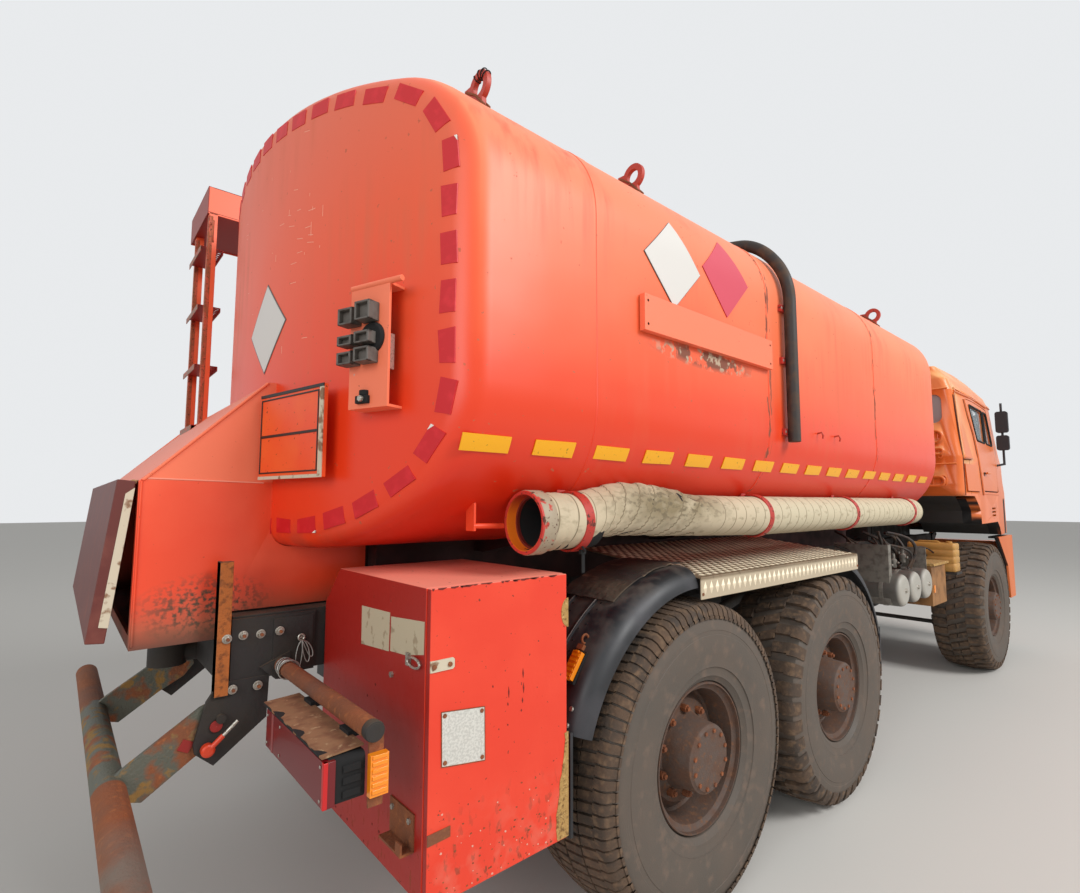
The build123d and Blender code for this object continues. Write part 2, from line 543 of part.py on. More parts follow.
# Tail lamps under a tray, hung from the lamp tubes, with a marker lamp on a strap at each end
with BuildPart() as rear_lamps:
    for side in SIDES:
        block((-3685, -3600), side_y(side, 740, 1205), (932, 1040))
    fillet(rear_lamps.edges().filter_by(Axis.X), radius=16)
    for side in SIDES:
        block((-3700, -3600), side_y(side, 700, 1170), (1040, 1046))
        for y in (780, 1060):
            block((-3610, -3575), side_y(side, y, y + 60), (1046, 1061))
        block((-3590, -3540), side_y(side, 1206, 1212), (916, 1061))
        block((-3585, -3545), side_y(side, 1212, 1238), (967, 1056))
save(rear_lamps.part, "rear_lamps")

# Underrun bar: a tube on two arms that fold up about the hanger pins
BAR_ARM = [(-3700, 930), (-3712, 985), (-3760, 1003), (-3815, 981), (-4007, 849), (BAR_X, BAR_Z + 30),
           (BAR_X, BAR_Z - 30), (-3956, 741), (-3823, 835), (-3735, 885)]
with BuildPart() as underrun_bar:
    rod((BAR_X, -BAR_HALF, BAR_Z), (BAR_X, BAR_HALF, BAR_Z), BAR_R)
    rod((BAR_X, -BAR_HALF - 1, BAR_Z), (BAR_X, 60 - BAR_HALF, BAR_Z), BAR_R - 6, mode=Mode.SUBTRACT)
    rod((BAR_X, BAR_HALF + 1, BAR_Z), (BAR_X, BAR_HALF - 60, BAR_Z), BAR_R - 6, mode=Mode.SUBTRACT)
    for side in SIDES:
        side_plate(BAR_ARM, side_y(side, 404, 424))
        rod((BAR_PIVOT[0], side * 390, BAR_PIVOT[1]), (BAR_PIVOT[0], side * 430, BAR_PIVOT[1]), 15,
            mode=Mode.SUBTRACT)
save(underrun_bar.part, "underrun_bar")

# Side equipment between the axles
with BuildPart() as fuel_tank:
    block((150, 1350), (500, 1180), (640, 1230))
    fillet(fuel_tank.edges().filter_by(Axis.X), radius=70)
    for x in (400, 1100):
        block((x - 30, x + 30), (RAIL_Y, 510), (900, 1200))
save(fuel_tank.part, "fuel_tank")
with BuildPart() as air_tanks:
    for x in (480, 750, 1020):
        rod((x, -1150, 1000), (x, -520, 1000), 118)
        fillet(air_tanks.edges().filter_by(GeomType.CIRCLE).filter_by(lambda e: abs(e.center().X - x) < 2), radius=40)
        block((x - 20, x + 20), (-530, -RAIL_Y), (960, 1100))
save(air_tanks.part, "air_tanks")
with BuildPart() as side_units:
    block((1180, 1560), (-1130, -520), (800, 1120))
    block((1250, 1500), (-520, -RAIL_Y), (1060, 1110))
    rod((1500, 480, 960), (1500, 1080, 960), 150)
    block((1470, 1530), (RAIL_Y, 500), (1060, 1150))
save(side_units.part, "side_units")
with BuildPart() as canister:
    block((1640, 1800), (-1190, -820), (1040, 1300))
    fillet(canister.edges().filter_by(Axis.Z), radius=25)
    block((1640, 1800), (-1195, -RAIL_Y), (1020, 1040))
save(canister.part, "canister")


# Cab: an outer form and an inner one, cut into its real panels
# Plan sections by height: height, rear, front, narrower by, shares of a wall taken sideways and down
CAB_SECTIONS = [(1250, CAB_REAR, CAB_FRONT, 0, 1, 0), (1750, CAB_REAR, CAB_FRONT, 0, 1, 0),
                (1800, CAB_REAR, 3960, 0, 1, 0), (2050, CAB_REAR, 3844, 0, 1, 0),
                (EAVES, CAB_REAR, 3560, 50, 1, 0), (2770, CAB_REAR + 20, 3480, 85, 0.8, 0.4), (2900, CAB_REAR + 60, 3200, 180, 0.5, 0.8),
                (ROOF_TOP, CAB_REAR + 215, 2900, 400, 0, 1)]
CAB_BENDS = [(2470, 0), (3370, 47), (4115, 113)]
REAR_CORNER_R, FRONT_CORNER_R = 60, 110


def taper(x):
    """How much narrower the cab is at a place along it, from its bends in plan."""
    (x0, d0), (x1, d1), (x2, d2) = CAB_BENDS
    if x < x1:
        return max(0, d0 + (d1 - d0) * (x - x0) / (x1 - x0))
    return d1 + (d2 - d1) * (x - x1) / (x2 - x1)


def cab_form(inset):
    """The cab's solid form, drawn in by inset on every side."""
    with BuildPart() as form:
        for height, back, front, narrower, sideways, down in CAB_SECTIONS:
            wall = inset * sideways
            half = CAB_HALF - narrower - wall
            bend = min(CAB_BENDS[1][0], front - 150)
            right = [(x, taper(x) - half) for x in (back + wall, CAB_BENDS[0][0], bend, front - wall)]
            left = [(x, -y) for x, y in reversed(right)]
            with BuildSketch(Plane.XY.offset(height - down * inset)) as section:
                with BuildLine():
                    Polyline(*right, *left, close=True)
                make_face()
                fillet(section.vertices().group_by(Axis.X)[0], radius=REAR_CORNER_R - inset)
                fillet(section.vertices().group_by(Axis.X)[-1], radius=FRONT_CORNER_R - inset)
        loft(ruled=True)
        # The underside steps down from the back to the nose
        floor = [(1600, BACK_FLOOR), (2140 + inset, BACK_FLOOR), (2240 + inset, 1635), (2336 + inset, 1562),
                 (2345 + inset, MAIN_FLOOR), (3207 + inset, MAIN_FLOOR), (3316 + inset, 1379),
                 (3390 + inset, NOSE_FLOOR), (4300, NOSE_FLOOR)]
        floor = [(x, z + inset) for x, z in floor]
        side_plate([(1600, 3300), *floor, (4300, 3300)], (-1400, 1400), mode=Mode.INTERSECT)
        tunnel_end = TUNNEL_FRONT if inset <= 0 else CAB_FRONT
        block((1500, tunnel_end), (-TUNNEL_HALF - inset, TUNNEL_HALF + inset), (900, MAIN_FLOOR + inset),
              mode=Mode.SUBTRACT)
    return form.part


OUTER, INNER, PROUD = cab_form(0), cab_form(CAB_WALL), cab_form(-PRESSING)
GLASS_OUT, GLASS_IN = cab_form(20), cab_form(28)
with BuildPart() as cab_shell:
    add(OUTER)
    add(INNER, mode=Mode.SUBTRACT)
with BuildPart() as pressings:
    add(PROUD)
    add(OUTER, mode=Mode.SUBTRACT)
with BuildPart() as glass_band:
    add(GLASS_OUT)
    add(GLASS_IN, mode=Mode.SUBTRACT)

REAR_CUT, FLOOR_HALF_W = CAB_REAR + 65, 1100
ALL_Y, ABOVE = (-1400, 1400), (EAVES, 3300)
FRONT_REGION = [(3640, 900), (4300, 900), (4300, 3300), (3440, 3300), (3440, EAVES), (3640, 1900)]
GUTTER = (EAVES, EAVES + 22)
with BuildPart() as cab_roof:
    add(pressings.part)
    block((1850, 3560), ALL_Y, GUTTER, mode=Mode.INTERSECT)
    add(cab_shell.part)
    block((1600, 4300), ALL_Y, (900, EAVES), mode=Mode.SUBTRACT)
save(cab_roof.part, "cab_roof")

# Rear wall with pressed ribs right across and two small windows
REAR_WINDOW_Y, REAR_WINDOW_Z, REAR_WINDOW_R = (700, 1127), (2360, 2620), 60
RIBS = [(2235, 130), (2100, 76), (1830, 110)]
RIB_WIDTH, RIB_BAND = 2260, 26


def rear_windows(mode):
    """Bars through both rear windows."""
    for side in SIDES:
        with BuildSketch(Plane.YZ.offset(1600)) as window:
            with Locations((side * sum(REAR_WINDOW_Y) / 2, sum(REAR_WINDOW_Z) / 2)):
                RectangleRounded(REAR_WINDOW_Y[1] - REAR_WINDOW_Y[0], REAR_WINDOW_Z[1] - REAR_WINDOW_Z[0],
                                 REAR_WINDOW_R)
        extrude(window.sketch, amount=300, mode=mode)


with BuildPart() as cab_rear_wall:
    for z, height in RIBS:
        with BuildSketch(Plane.YZ.offset(1600)) as rib:
            with Locations((0, z)):
                RectangleRounded(RIB_WIDTH, height, height / 2 - 1)
                RectangleRounded(RIB_WIDTH - 2 * RIB_BAND, height - 2 * RIB_BAND, height / 2 - RIB_BAND - 1,
                                 mode=Mode.SUBTRACT)
        extrude(rib.sketch, amount=250)
    add(pressings.part, mode=Mode.INTERSECT)
    add(cab_shell.part)
    block((REAR_CUT, 4300), ALL_Y, (900, 3300), mode=Mode.SUBTRACT)
    block((1600, 4300), ALL_Y, ABOVE, mode=Mode.SUBTRACT)
    rear_windows(Mode.SUBTRACT)
save(cab_rear_wall.part, "cab_rear_wall")

WINDSCREEN = [(-1035, 1900), (1035, 1900), (990, 2600), (-990, 2600)]
GRILLE_Z, GRILLE_HALF = (1385, 1440, 1495, 1550), 640
with BuildPart() as cab_front:
    add(cab_shell.part)
    side_plate(FRONT_REGION, ALL_Y, mode=Mode.INTERSECT)
    block((1600, 4300), ALL_Y, ABOVE, mode=Mode.SUBTRACT)
    extrude(outline(Plane.YZ.offset(3300), WINDSCREEN, radius=60), amount=900, mode=Mode.SUBTRACT)
    for z in GRILLE_Z:
        with BuildSketch(Plane.YZ.offset(CAB_FRONT - 22)) as slot:
            with Locations((0, z)):
                SlotOverall(2 * GRILLE_HALF, 34)
        extrude(slot.sketch, amount=100, mode=Mode.SUBTRACT)
    for side in SIDES:
        # Arms that hang from the nose onto the tilt pins
        x, z = TILT_PIN
        rod((x, side * 384, z), (x, side * 414, z), TILT_R)
        block((x - 14, x + TILT_R), side_y(side, 384, 414), (z, NOSE_FLOOR + 5))
        rod((x, side * 380, z), (x, side * 420, z), TILT_R - 10, mode=Mode.SUBTRACT)
save(cab_front.part, "cab_front")

with BuildPart() as cab_floor:
    add(cab_shell.part)
    block((1600, REAR_CUT), ALL_Y, (900, 3300), mode=Mode.SUBTRACT)
    side_plate(FRONT_REGION, ALL_Y, mode=Mode.SUBTRACT)
    block((1600, 4300), (-FLOOR_HALF_W, FLOOR_HALF_W), (900, 1800), mode=Mode.INTERSECT)
save(cab_floor.part, "cab_floor")

DOOR = [(2500, 1750), (3350, 1750), (3190, 2620), (2215, 2620)]
DOOR_WINDOWS = [[(2420, 2235), (2830, 2235), (2920, 2575), (2310, 2575)],
                [(2885, 2235), (3235, 2235), (3165, 2575), (2975, 2575)]]
DOOR_R, WINDOW_R = 40, 35
SIDE_PANELS = [[(1815, 2630), (1830, 2630), (2100, 2035), (1815, 2025)],
               [(1830, 1985), (2230, 1985), (2330, 1745), (1880, 1745)]]
FENDER_SLOTS = (1500, 1535, 1570)


def grown(points, by):
    """A door outline drawn out by a gap on every side."""
    (x0, z0), (x1, z1), (x2, z2), (x3, z3) = points
    return [(x0 - by, z0 - by), (x1 + by, z1 - by), (x2 + by, z2 + by), (x3 - by, z3 + by)]


with BuildPart() as cab_sides:
    for panel in SIDE_PANELS:
        side_plate(panel, ALL_Y)
    add(pressings.part, mode=Mode.INTERSECT)
    add(cab_shell.part)
    block((1600, REAR_CUT), ALL_Y, (900, 3300), mode=Mode.SUBTRACT)
    side_plate(FRONT_REGION, ALL_Y, mode=Mode.SUBTRACT)
    block((1600, 4300), ALL_Y, ABOVE, mode=Mode.SUBTRACT)
    block((1600, 4300), (-FLOOR_HALF_W, FLOOR_HALF_W), (900, 3300), mode=Mode.SUBTRACT)
    side_plate(grown(DOOR, DOOR_GAP), ALL_Y, mode=Mode.SUBTRACT, radius=DOOR_R + DOOR_GAP)
    for side in SIDES:
        for z in FENDER_SLOTS:
            block((2900, 3120), side_y(side, 1198, 1300), (z, z + 18), mode=Mode.SUBTRACT)
save(cab_sides.part, "cab_sides")

HANDLE_X, HANDLE_Y, HANDLE_Z = (2590, 2700), 1266, 1925
for side, name in ((RIGHT, "right"), (LEFT, "left")):
    with BuildPart() as door:
        side_plate(DOOR, side_y(side, 1050, 1300), radius=DOOR_R)
        add(cab_shell.part, mode=Mode.INTERSECT)
        for window in DOOR_WINDOWS:
            side_plate(window, side_y(side, 1000, 1300), mode=Mode.SUBTRACT, radius=WINDOW_R)
        rod((HANDLE_X[0], side * HANDLE_Y, HANDLE_Z), (HANDLE_X[1], side * HANDLE_Y, HANDLE_Z), 9)
        for x in (HANDLE_X[0] + 10, HANDLE_X[1] - 10):
            rod((x, side * 1230, HANDLE_Z), (x, side * HANDLE_Y, HANDLE_Z), 7)
    save(door.part, f"door_{name}")
    with BuildPart() as pane:
        for window in DOOR_WINDOWS:
            side_plate(window, side_y(side, 1000, 1300), radius=WINDOW_R)
        add(glass_band.part, mode=Mode.INTERSECT)
    save(pane.part, f"door_glass_{name}")

with BuildPart() as cab_glass:
    extrude(outline(Plane.YZ.offset(3300), WINDSCREEN, radius=60), amount=900)
    rear_windows(Mode.ADD)
    add(glass_band.part, mode=Mode.INTERSECT)
save(cab_glass.part, "cab_glass")

with BuildPart() as cab_seats:
    for y in (-600, 600):
        block((2620, 3120), (y - 250, y + 250), (1700, 1860))
    fillet(cab_seats.edges().filter_by(Axis.Z), radius=40)
    for y in (-600, 600):
        side_plate([(2500, 1860), (2640, 1860), (2560, 2480), (2450, 2480)], (y - 240, y + 240))
        block((2700, 3000), (y - 120, y + 120), (MAIN_FLOOR + CAB_WALL, 1700))
save(cab_seats.part, "cab_seats")

with BuildPart() as dashboard:
    side_plate([(3600, 1500), (3830, 1500), (3850, 1850), (3700, 1930), (3560, 1840)], (-1040, 1040))
    rod((3580, 600, 1800), (3400, 600, 1980), 25)
    with Locations(Plane(origin=(3395, 600, 1985), z_dir=(-1, 0, 1))):
        Torus(215, 14)
        for angle in (0, 120, 240):
            with Locations(Rotation(0, 0, angle)):
                with Locations((107, 0, 0)):
                    Box(214, 26, 12)
save(dashboard.part, "dashboard")

# Mirrors: two heads on a tube that stands off the front corner of the cab on each side
HEADS = [(2390, 2620), (2200, 2360)]
HEAD_X, HEAD_Y, TUBE_R = (3392, 3440), (1208, 1316), 11
with BuildPart() as mirrors:
    for side in SIDES:
        for z in HEADS:
            block(HEAD_X, side_y(side, *HEAD_Y), z)
    fillet(mirrors.edges().filter_by(Axis.X), radius=24)
    for side in SIDES:
        for z, foot, inboard in ((2700, 2680, 1120), (2050, 2030, 1180)):
            rod((3372, side * inboard, foot), (3416, side * 1262, z), TUBE_R)
        rod((3416, side * 1262, 2040), (3416, side * 1262, 2710), TUBE_R)
    add(OUTER, mode=Mode.SUBTRACT)
save(mirrors.part, "mirrors")
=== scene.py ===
# %% [markdown]
# # A six-wheel tanker truck
# The packed model is a fixed frame: every piece goes where its node is, in metres, X forward, Y left and Z
# up. We dress it one piece at a time. Where the packed solid has the right shape we copy it, round its
# edges and give it a finish. Where the real piece has finer forms, such as a tyre's blocks or creased
# canvas, we model a new mesh that stands for the node.

# %% Load the frame
import json
import random
from contextlib import contextmanager
from math import asin, atan2, cos, exp, hypot, pi, radians, sin, sqrt

import bmesh
import bpy
import numpy as np
from mathutils import Matrix, Vector
from mathutils import noise as field

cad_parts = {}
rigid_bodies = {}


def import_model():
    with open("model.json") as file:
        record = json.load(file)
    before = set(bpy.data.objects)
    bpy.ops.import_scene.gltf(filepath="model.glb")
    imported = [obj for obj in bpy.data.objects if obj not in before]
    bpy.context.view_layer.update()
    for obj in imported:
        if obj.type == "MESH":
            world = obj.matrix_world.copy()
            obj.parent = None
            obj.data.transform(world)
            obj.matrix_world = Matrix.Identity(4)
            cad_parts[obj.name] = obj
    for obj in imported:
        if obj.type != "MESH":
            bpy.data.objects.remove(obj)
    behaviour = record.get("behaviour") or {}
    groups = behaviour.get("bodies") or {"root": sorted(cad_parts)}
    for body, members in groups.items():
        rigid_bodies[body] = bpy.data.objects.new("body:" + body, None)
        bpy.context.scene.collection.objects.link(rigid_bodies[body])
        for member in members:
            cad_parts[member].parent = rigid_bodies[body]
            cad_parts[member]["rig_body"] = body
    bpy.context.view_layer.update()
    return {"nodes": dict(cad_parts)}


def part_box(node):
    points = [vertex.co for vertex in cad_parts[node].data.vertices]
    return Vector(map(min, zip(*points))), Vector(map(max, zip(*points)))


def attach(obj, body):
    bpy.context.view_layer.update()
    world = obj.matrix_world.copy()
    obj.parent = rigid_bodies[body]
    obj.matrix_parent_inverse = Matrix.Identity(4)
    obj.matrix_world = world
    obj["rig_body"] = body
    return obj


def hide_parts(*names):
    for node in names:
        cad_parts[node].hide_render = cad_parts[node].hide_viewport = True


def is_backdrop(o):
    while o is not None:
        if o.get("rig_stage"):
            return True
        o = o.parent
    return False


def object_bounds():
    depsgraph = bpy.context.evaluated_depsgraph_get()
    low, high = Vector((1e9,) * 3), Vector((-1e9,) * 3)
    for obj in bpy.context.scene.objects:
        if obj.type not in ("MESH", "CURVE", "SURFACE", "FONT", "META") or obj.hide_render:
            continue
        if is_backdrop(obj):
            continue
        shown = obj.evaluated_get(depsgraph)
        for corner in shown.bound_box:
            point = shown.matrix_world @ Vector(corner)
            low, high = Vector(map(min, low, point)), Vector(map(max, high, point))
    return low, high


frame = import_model()
scene = bpy.context.scene
scene.view_settings.view_transform = "Standard"

# %% [markdown]
# ## Camera
# The photograph was taken from behind the truck, on its right, at a standing person's eye height and with a
# phone's wide lens. The place, the turn and the lens were solved from tyres, axles and tank seams, so the
# model falls on the photograph without any fitting by eye. A small shift stands for the lens's centre.

# %% Camera at the photograph's place
EYE = Vector((-4.1985, -2.5741, 1.6408))
EYE_TURN, EYE_PITCH = 0.8482, 0.0859
FOCAL_PX, CENTRE_PX, IMAGE_PX = 561.84, (553.4, 454.05), (1080, 893)
SENSOR = 36

sight = Vector((cos(EYE_PITCH) * cos(EYE_TURN), cos(EYE_PITCH) * sin(EYE_TURN), sin(EYE_PITCH)))
lens = bpy.data.cameras.new("camera")
lens.sensor_width = SENSOR
lens.lens = FOCAL_PX * SENSOR / IMAGE_PX[0]
lens.shift_x = (IMAGE_PX[0] / 2 - CENTRE_PX[0]) / IMAGE_PX[0]
lens.shift_y = (CENTRE_PX[1] - IMAGE_PX[1] / 2) / IMAGE_PX[0]
lens.clip_start = 0.05
camera = bpy.data.objects.new("camera", lens)
camera.location = EYE
camera.rotation_euler = sight.to_track_quat("-Z", "Y").to_euler()
scene.collection.objects.link(camera)
scene.camera = camera
print("lens", round(lens.lens, 2), "mm")

# %% [markdown]
# ## Colours and nodes
# Colours are written as sRGB hex values, as a paint chart gives them, and one function turns them to the
# linear values that the renderer adds up. One more function adds any shader node with its settings and
# links.

# %% Colour and node helpers
def linear(chart):
    """An sRGB hex value as linear red, green, blue and alpha."""
    values = [int(chart[i:i + 2], 16) / 255 for i in (1, 3, 5)]
    return [v / 12.92 if v <= 0.04045 else ((v + 0.055) / 1.055) ** 2.4 for v in values] + [1]


def add_node(tree, kind, sockets=(), **settings):
    """Adds a shader node. Sockets take values, or the outputs to link, by name or number."""
    made = tree.nodes.new("ShaderNode" + kind)
    for key, value in settings.items():
        setattr(made, key, value)
    for key, value in dict(sockets).items():
        if isinstance(value, bpy.types.NodeSocket):
            tree.links.new(value, made.inputs[key])
        else:
            made.inputs[key].default_value = value
    return made


print("tank red in linear light:", [round(v, 3) for v in linear("#E2401F")])

# %% [markdown]
# ## Weathered finishes
# Weathered paint is built as a painter would: a base coat, then coats of fading, dust, chips and rust, each
# laid where its mask is white. A mask is a cloud of noise cut at two levels, or the space round a point. A
# photograph laid on the truck would be quicker, but it would show its own light and blur close up.
# Positions are in metres, so the size of each patch is its real size; spots under 10 mm are drawn that
# large so that they show.

# %% Masks and coats
def patches(tree, size, low, high, stretch=(1, 1, 1), detail=6):
    """A mask of patches about this size in metres, 0 under the low level and 1 over the high one."""
    here = add_node(tree, "TexCoord").outputs["Object"]
    here = add_node(tree, "Mapping", {"Vector": here, "Scale": stretch}).outputs[0]
    cloud = add_node(tree, "TexNoise", {"Vector": here, "Scale": 1 / size, "Detail": detail}).outputs[0]
    return add_node(tree, "MapRange", {"Value": cloud, "From Min": low, "From Max": high}).outputs[0]


def around(tree, centre, reach, edge=0.5):
    """A mask that is 1 about a point and falls to 0 at its reach along each axis."""
    here = add_node(tree, "TexCoord").outputs["Object"]
    scale = [1 / r for r in reach]
    shift = [-c / r for c, r in zip(centre, reach)]
    near = add_node(tree, "Mapping", {"Vector": here, "Scale": scale, "Location": shift}).outputs[0]
    far = add_node(tree, "VectorMath", {0: near}, operation="LENGTH").outputs["Value"]
    return add_node(tree, "MapRange", {"Value": far, "From Min": 1, "From Max": edge}).outputs[0]


def rise(tree, low, high, axis=2, normal=False):
    """A mask from 0 at the low end of an axis to 1 at the high one, of place or of the way a face looks."""
    here = add_node(tree, "TexCoord").outputs["Normal" if normal else "Object"]
    part = add_node(tree, "SeparateXYZ", {0: here}).outputs[axis]
    return add_node(tree, "MapRange", {"Value": part, "From Min": low, "From Max": high}).outputs[0]


def both(tree, *masks):
    """Where all the masks are white."""
    whole = masks[0]
    for mask in masks[1:]:
        whole = add_node(tree, "Math", {0: whole, 1: mask}, operation="MULTIPLY").outputs[0]
    return whole


def material(name, base, roughness, coats=(), relief=None, depth=0.001, **shader_values):
    """A weathered finish. A coat's row is its mask, or the size, low, high and perhaps stretch of its
    patches, then its colour and roughness. Relief is the size in metres of pits, or a row for patches."""
    made = bpy.data.materials.new(name)
    made.use_nodes = True
    tree = made.node_tree
    shader = tree.nodes["Principled BSDF"]
    for key, value in shader_values.items():
        shader.inputs[key.replace("_", " ")].default_value = value
    colour, rough = linear(base), roughness
    for *mask, tint, tint_roughness in coats(tree) if callable(coats) else coats:
        mask = patches(tree, *mask) if len(mask) > 1 else mask[0]
        colour = add_node(tree, "Mix", {0: mask, 6: colour, 7: linear(tint)}, data_type="RGBA").outputs[2]
        rough = add_node(tree, "Mix", {0: mask, 2: rough, 3: tint_roughness}).outputs[0]
    for socket, value in ((shader.inputs["Base Color"], colour), (shader.inputs["Roughness"], rough)):
        if isinstance(value, bpy.types.NodeSocket):
            tree.links.new(value, socket)
        else:
            socket.default_value = value
    if relief:
        height = patches(tree, *(relief if isinstance(relief, tuple) else (relief, 0.3, 0.7)))
        bump = add_node(tree, "Bump", {"Height": height, "Distance": depth})
        tree.links.new(bump.outputs[0], shader.inputs["Normal"])
    made.diffuse_color = linear(base)
    return made


print("masks: patches, around, rise, both")

# %% [markdown]
# ## Tank enamel
# The tank is rolled steel under an orange-red alkyd enamel. Years of sun have chalked its top and left it
# salmon, the flanks below stay deep red, dust hangs along the bottom and rust comes through along the ring
# seams. Enamel is a dielectric with a soft gloss, so roughness is near 0.35, and higher where it has
# chalked. A ramp of height carries the fading, because the sun works from above, and noise breaks the ramp
# up. The ramp is also partly painted light: its pale top stands for sky light, the deep red below for shade.

# %% Enamel on the tank
SEAM_X = (-2.825, -1.635, -0.245)
DOWN = (1, 1, 0.2)


def tank_coats(tree):
    head = rise(tree, -0.4, -0.8, axis=0, normal=True)
    streaks = both(tree, patches(tree, 0.05, 0.45, 0.75, (1, 1, 0.08)), patches(tree, 0.6, 0.45, 0.6))
    # Height ramps on the flank and the head: sun fading, and partly painted light, paler towards the top.
    rows = [(rise(tree, 1.7, 2.15), "#E44A20", 0.36), (rise(tree, 2.05, 2.5), "#EE6C40", 0.42),
            (rise(tree, 2.5, 3.1), "#F0916A", 0.5),
            (both(tree, patches(tree, 0.9, 0.4, 0.66), rise(tree, 2.1, 2.8)), "#F2855A", 0.5),
            (head, "#E83C16", 0.36), (both(tree, head, rise(tree, 1.9, 2.55)), "#EA5830", 0.42),
            (both(tree, head, rise(tree, 2.55, 3.1)), "#E06A4C", 0.5),
            (both(tree, streaks, rise(tree, 1.6, 2.6)), "#D8603C", 0.5),
            (both(tree, patches(tree, 0.25, 0.5, 0.7), rise(tree, 1.62, 1.45)), "#8E4030", 0.75)]
    for x in SEAM_X[1:]:
        seam = around(tree, (x, -1.2, 2.35), (0.03, 0.6, 0.9), 0.6)
        rows.append((both(tree, seam, patches(tree, 0.02, 0.55, 0.59, DOWN)), "#8A4A35", 0.8))
    flaked = around(tree, (-2.16, -1.25, 2.245), (0.42, 0.2, 0.05), 0.5)
    return rows + [(both(tree, flaked, patches(tree, 0.08, 0.46, 0.5)), "#7E4A38", 0.85),
                   (both(tree, flaked, patches(tree, 0.03, 0.55, 0.6)), "#B4A088", 0.85),
                   (0.022, 0.7, 0.72, "#C25A3A", 0.6)]


# Alkyd enamel on rolled sheet: a soft gloss, and highlights that wander over the shallow waves of the
# rolling.
tank_enamel = material("faded orange-red enamel with painted light on rolled steel", "#DC2C0E", 0.34, tank_coats,
                       (0.5, 0.2, 0.8, (1, 1, 1), 2), 0.004)
print("tank enamel:", len(tank_enamel.node_tree.nodes), "nodes")

# %% [markdown]
# ## Painted and bare steel
# Each finish starts from what the thing is made of. Sheet-metal boxes have a brush-painted red enamel that
# chips to rust at its edges, the cab a baked one, the chassis black paint under road dust, and the bare
# bars are rusted through. One material could serve all the reds, but each was sprayed, brushed or baked at
# a different time.

# %% Enamel on boxes and cab
def box_coats(tree):
    low = rise(tree, 0.86, 0.6)
    # Faces that look to the rear are painted a darker red: painted shade.
    return [(0.3, 0.45, 0.75, "#E8462A", 0.45), (rise(tree, -0.5, -0.9, 0, True), "#A01C12", 0.45),
            (rise(tree, 0.3, 0.9, normal=True), "#F0907A", 0.6),
            (both(tree, patches(tree, 0.02, 0.6, 0.66, (1, 1, 0.5)), low), "#8A3A22", 0.85),
            (both(tree, patches(tree, 0.05, 0.5, 1.0), low, rise(tree, -0.5, -0.9, 1, True)), "#D9806A", 0.6),
            (0.012, 0.7, 0.72, "#6E2F20", 0.85)]


def compartment_coats(tree):
    oil = around(tree, (-3.8, -0.36, 1.29), (0.22, 0.2, 0.12), 0.4)
    return [(0.5, 0.4, 0.7, "#F0603C", 0.45), (rise(tree, 1.711, 1.717), "#F27A56", 0.45),
            (both(tree, patches(tree, 0.25, 0.25, 0.6), rise(tree, 1.36, 1.22)), "#9A5A40", 0.8),
            (rise(tree, 1.24, 1.18), "#6A4234", 0.85),
            (both(tree, oil, patches(tree, 0.014, 0.46, 0.6)), "#5A4434", 0.85),
            (0.01, 0.71, 0.73, "#8A3A2A", 0.8)]


def cab_coats(tree):
    """Orange outside and above. Below the doors, what faces down or inwards is black: dirt, and painted shade
    under the cab.
    """
    low = both(tree, rise(tree, 1.69, 1.67), rise(tree, 3.88, 3.84, axis=0))
    inside = both(tree, rise(tree, -1.175, -1.17, axis=1), rise(tree, 1.175, 1.17, axis=1))
    rows = [(rise(tree, 0.1, 0.9, normal=True), "#F4B878", 0.4), (rise(tree, 2.1, 1.7), "#D86A2C", 0.4),
            (0.6, 0.45, 0.7, "#E0763A", 0.4),
            # Painted shade over the dirt there: black on faces that look down, and on inner faces of the
            # lower cab.
            (both(tree, rise(tree, -0.2, -0.8, normal=True), rise(tree, 1.72, 1.64)), "#14100E", 0.8),
            (both(tree, low, inside), "#100D0C", 0.85)]
    for side in (-1, 1):
        inner_face = both(tree, rise(tree, side * 1.1, side * 1.15, axis=1),
                          rise(tree, side * -0.3, side * -0.5, 1, True))
        rows.append((both(tree, low, inner_face), "#100D0C", 0.85))
    return rows


# Enamel brushed on sheet steel: brush marks break the gloss, the top is chalked to pink, rust freckles the
# foot. The rear face is painted a darker red: painted shade.
box_red = material("brushed red enamel on sheet steel", "#E03A20", 0.42, box_coats, 0.05, 0.0006)
# Sprayed enamel on folded sheet: smoother and paler than the box, with brown grime along its hem.
compartment_red = material("red enamel on folded sheet", "#E84A28", 0.38, compartment_coats, 0.2, 0.001)
# Baked enamel on pressed steel: the smoothest paint here, yellowed where it faces the sky.
cab_orange = material("orange enamel on pressed steel", "#DC6C2A", 0.3, cab_coats)
print("enamels:", box_red.name, "|", compartment_red.name, "|", cab_orange.name)


# %% Chassis paint, rust and zinc
def chassis_coats(tree):
    return [(0.1, 0.42, 0.66, "#2E2822", 0.8),
            (both(tree, rise(tree, 0.3, 1, normal=True), patches(tree, 0.2, 0.3, 0.6)), "#4E4032", 0.9)]


RUST_COATS = [(0.12, 0.35, 0.65, "#8A4E2C", 0.9), (0.02, 0.55, 0.7, "#9A5C34", 0.9),
              (0.3, 0.55, 0.75, "#6A4636", 0.8)]


def arm_coats(tree):
    arms = both(tree, rise(tree, -0.45, -0.44, axis=1), rise(tree, 0.45, 0.44, axis=1))
    end = rise(tree, -0.7, -0.95, axis=1)
    return RUST_COATS + [(both(tree, arms, patches(tree, 0.1, 0.4, 0.48)), "#57584C", 0.6),
                         (both(tree, arms, patches(tree, 0.05, 0.54, 0.62)), "#8C6A38", 0.9),
                         (both(tree, end, patches(tree, 0.2, 0.3, 0.5)), "#75665A", 0.8)]


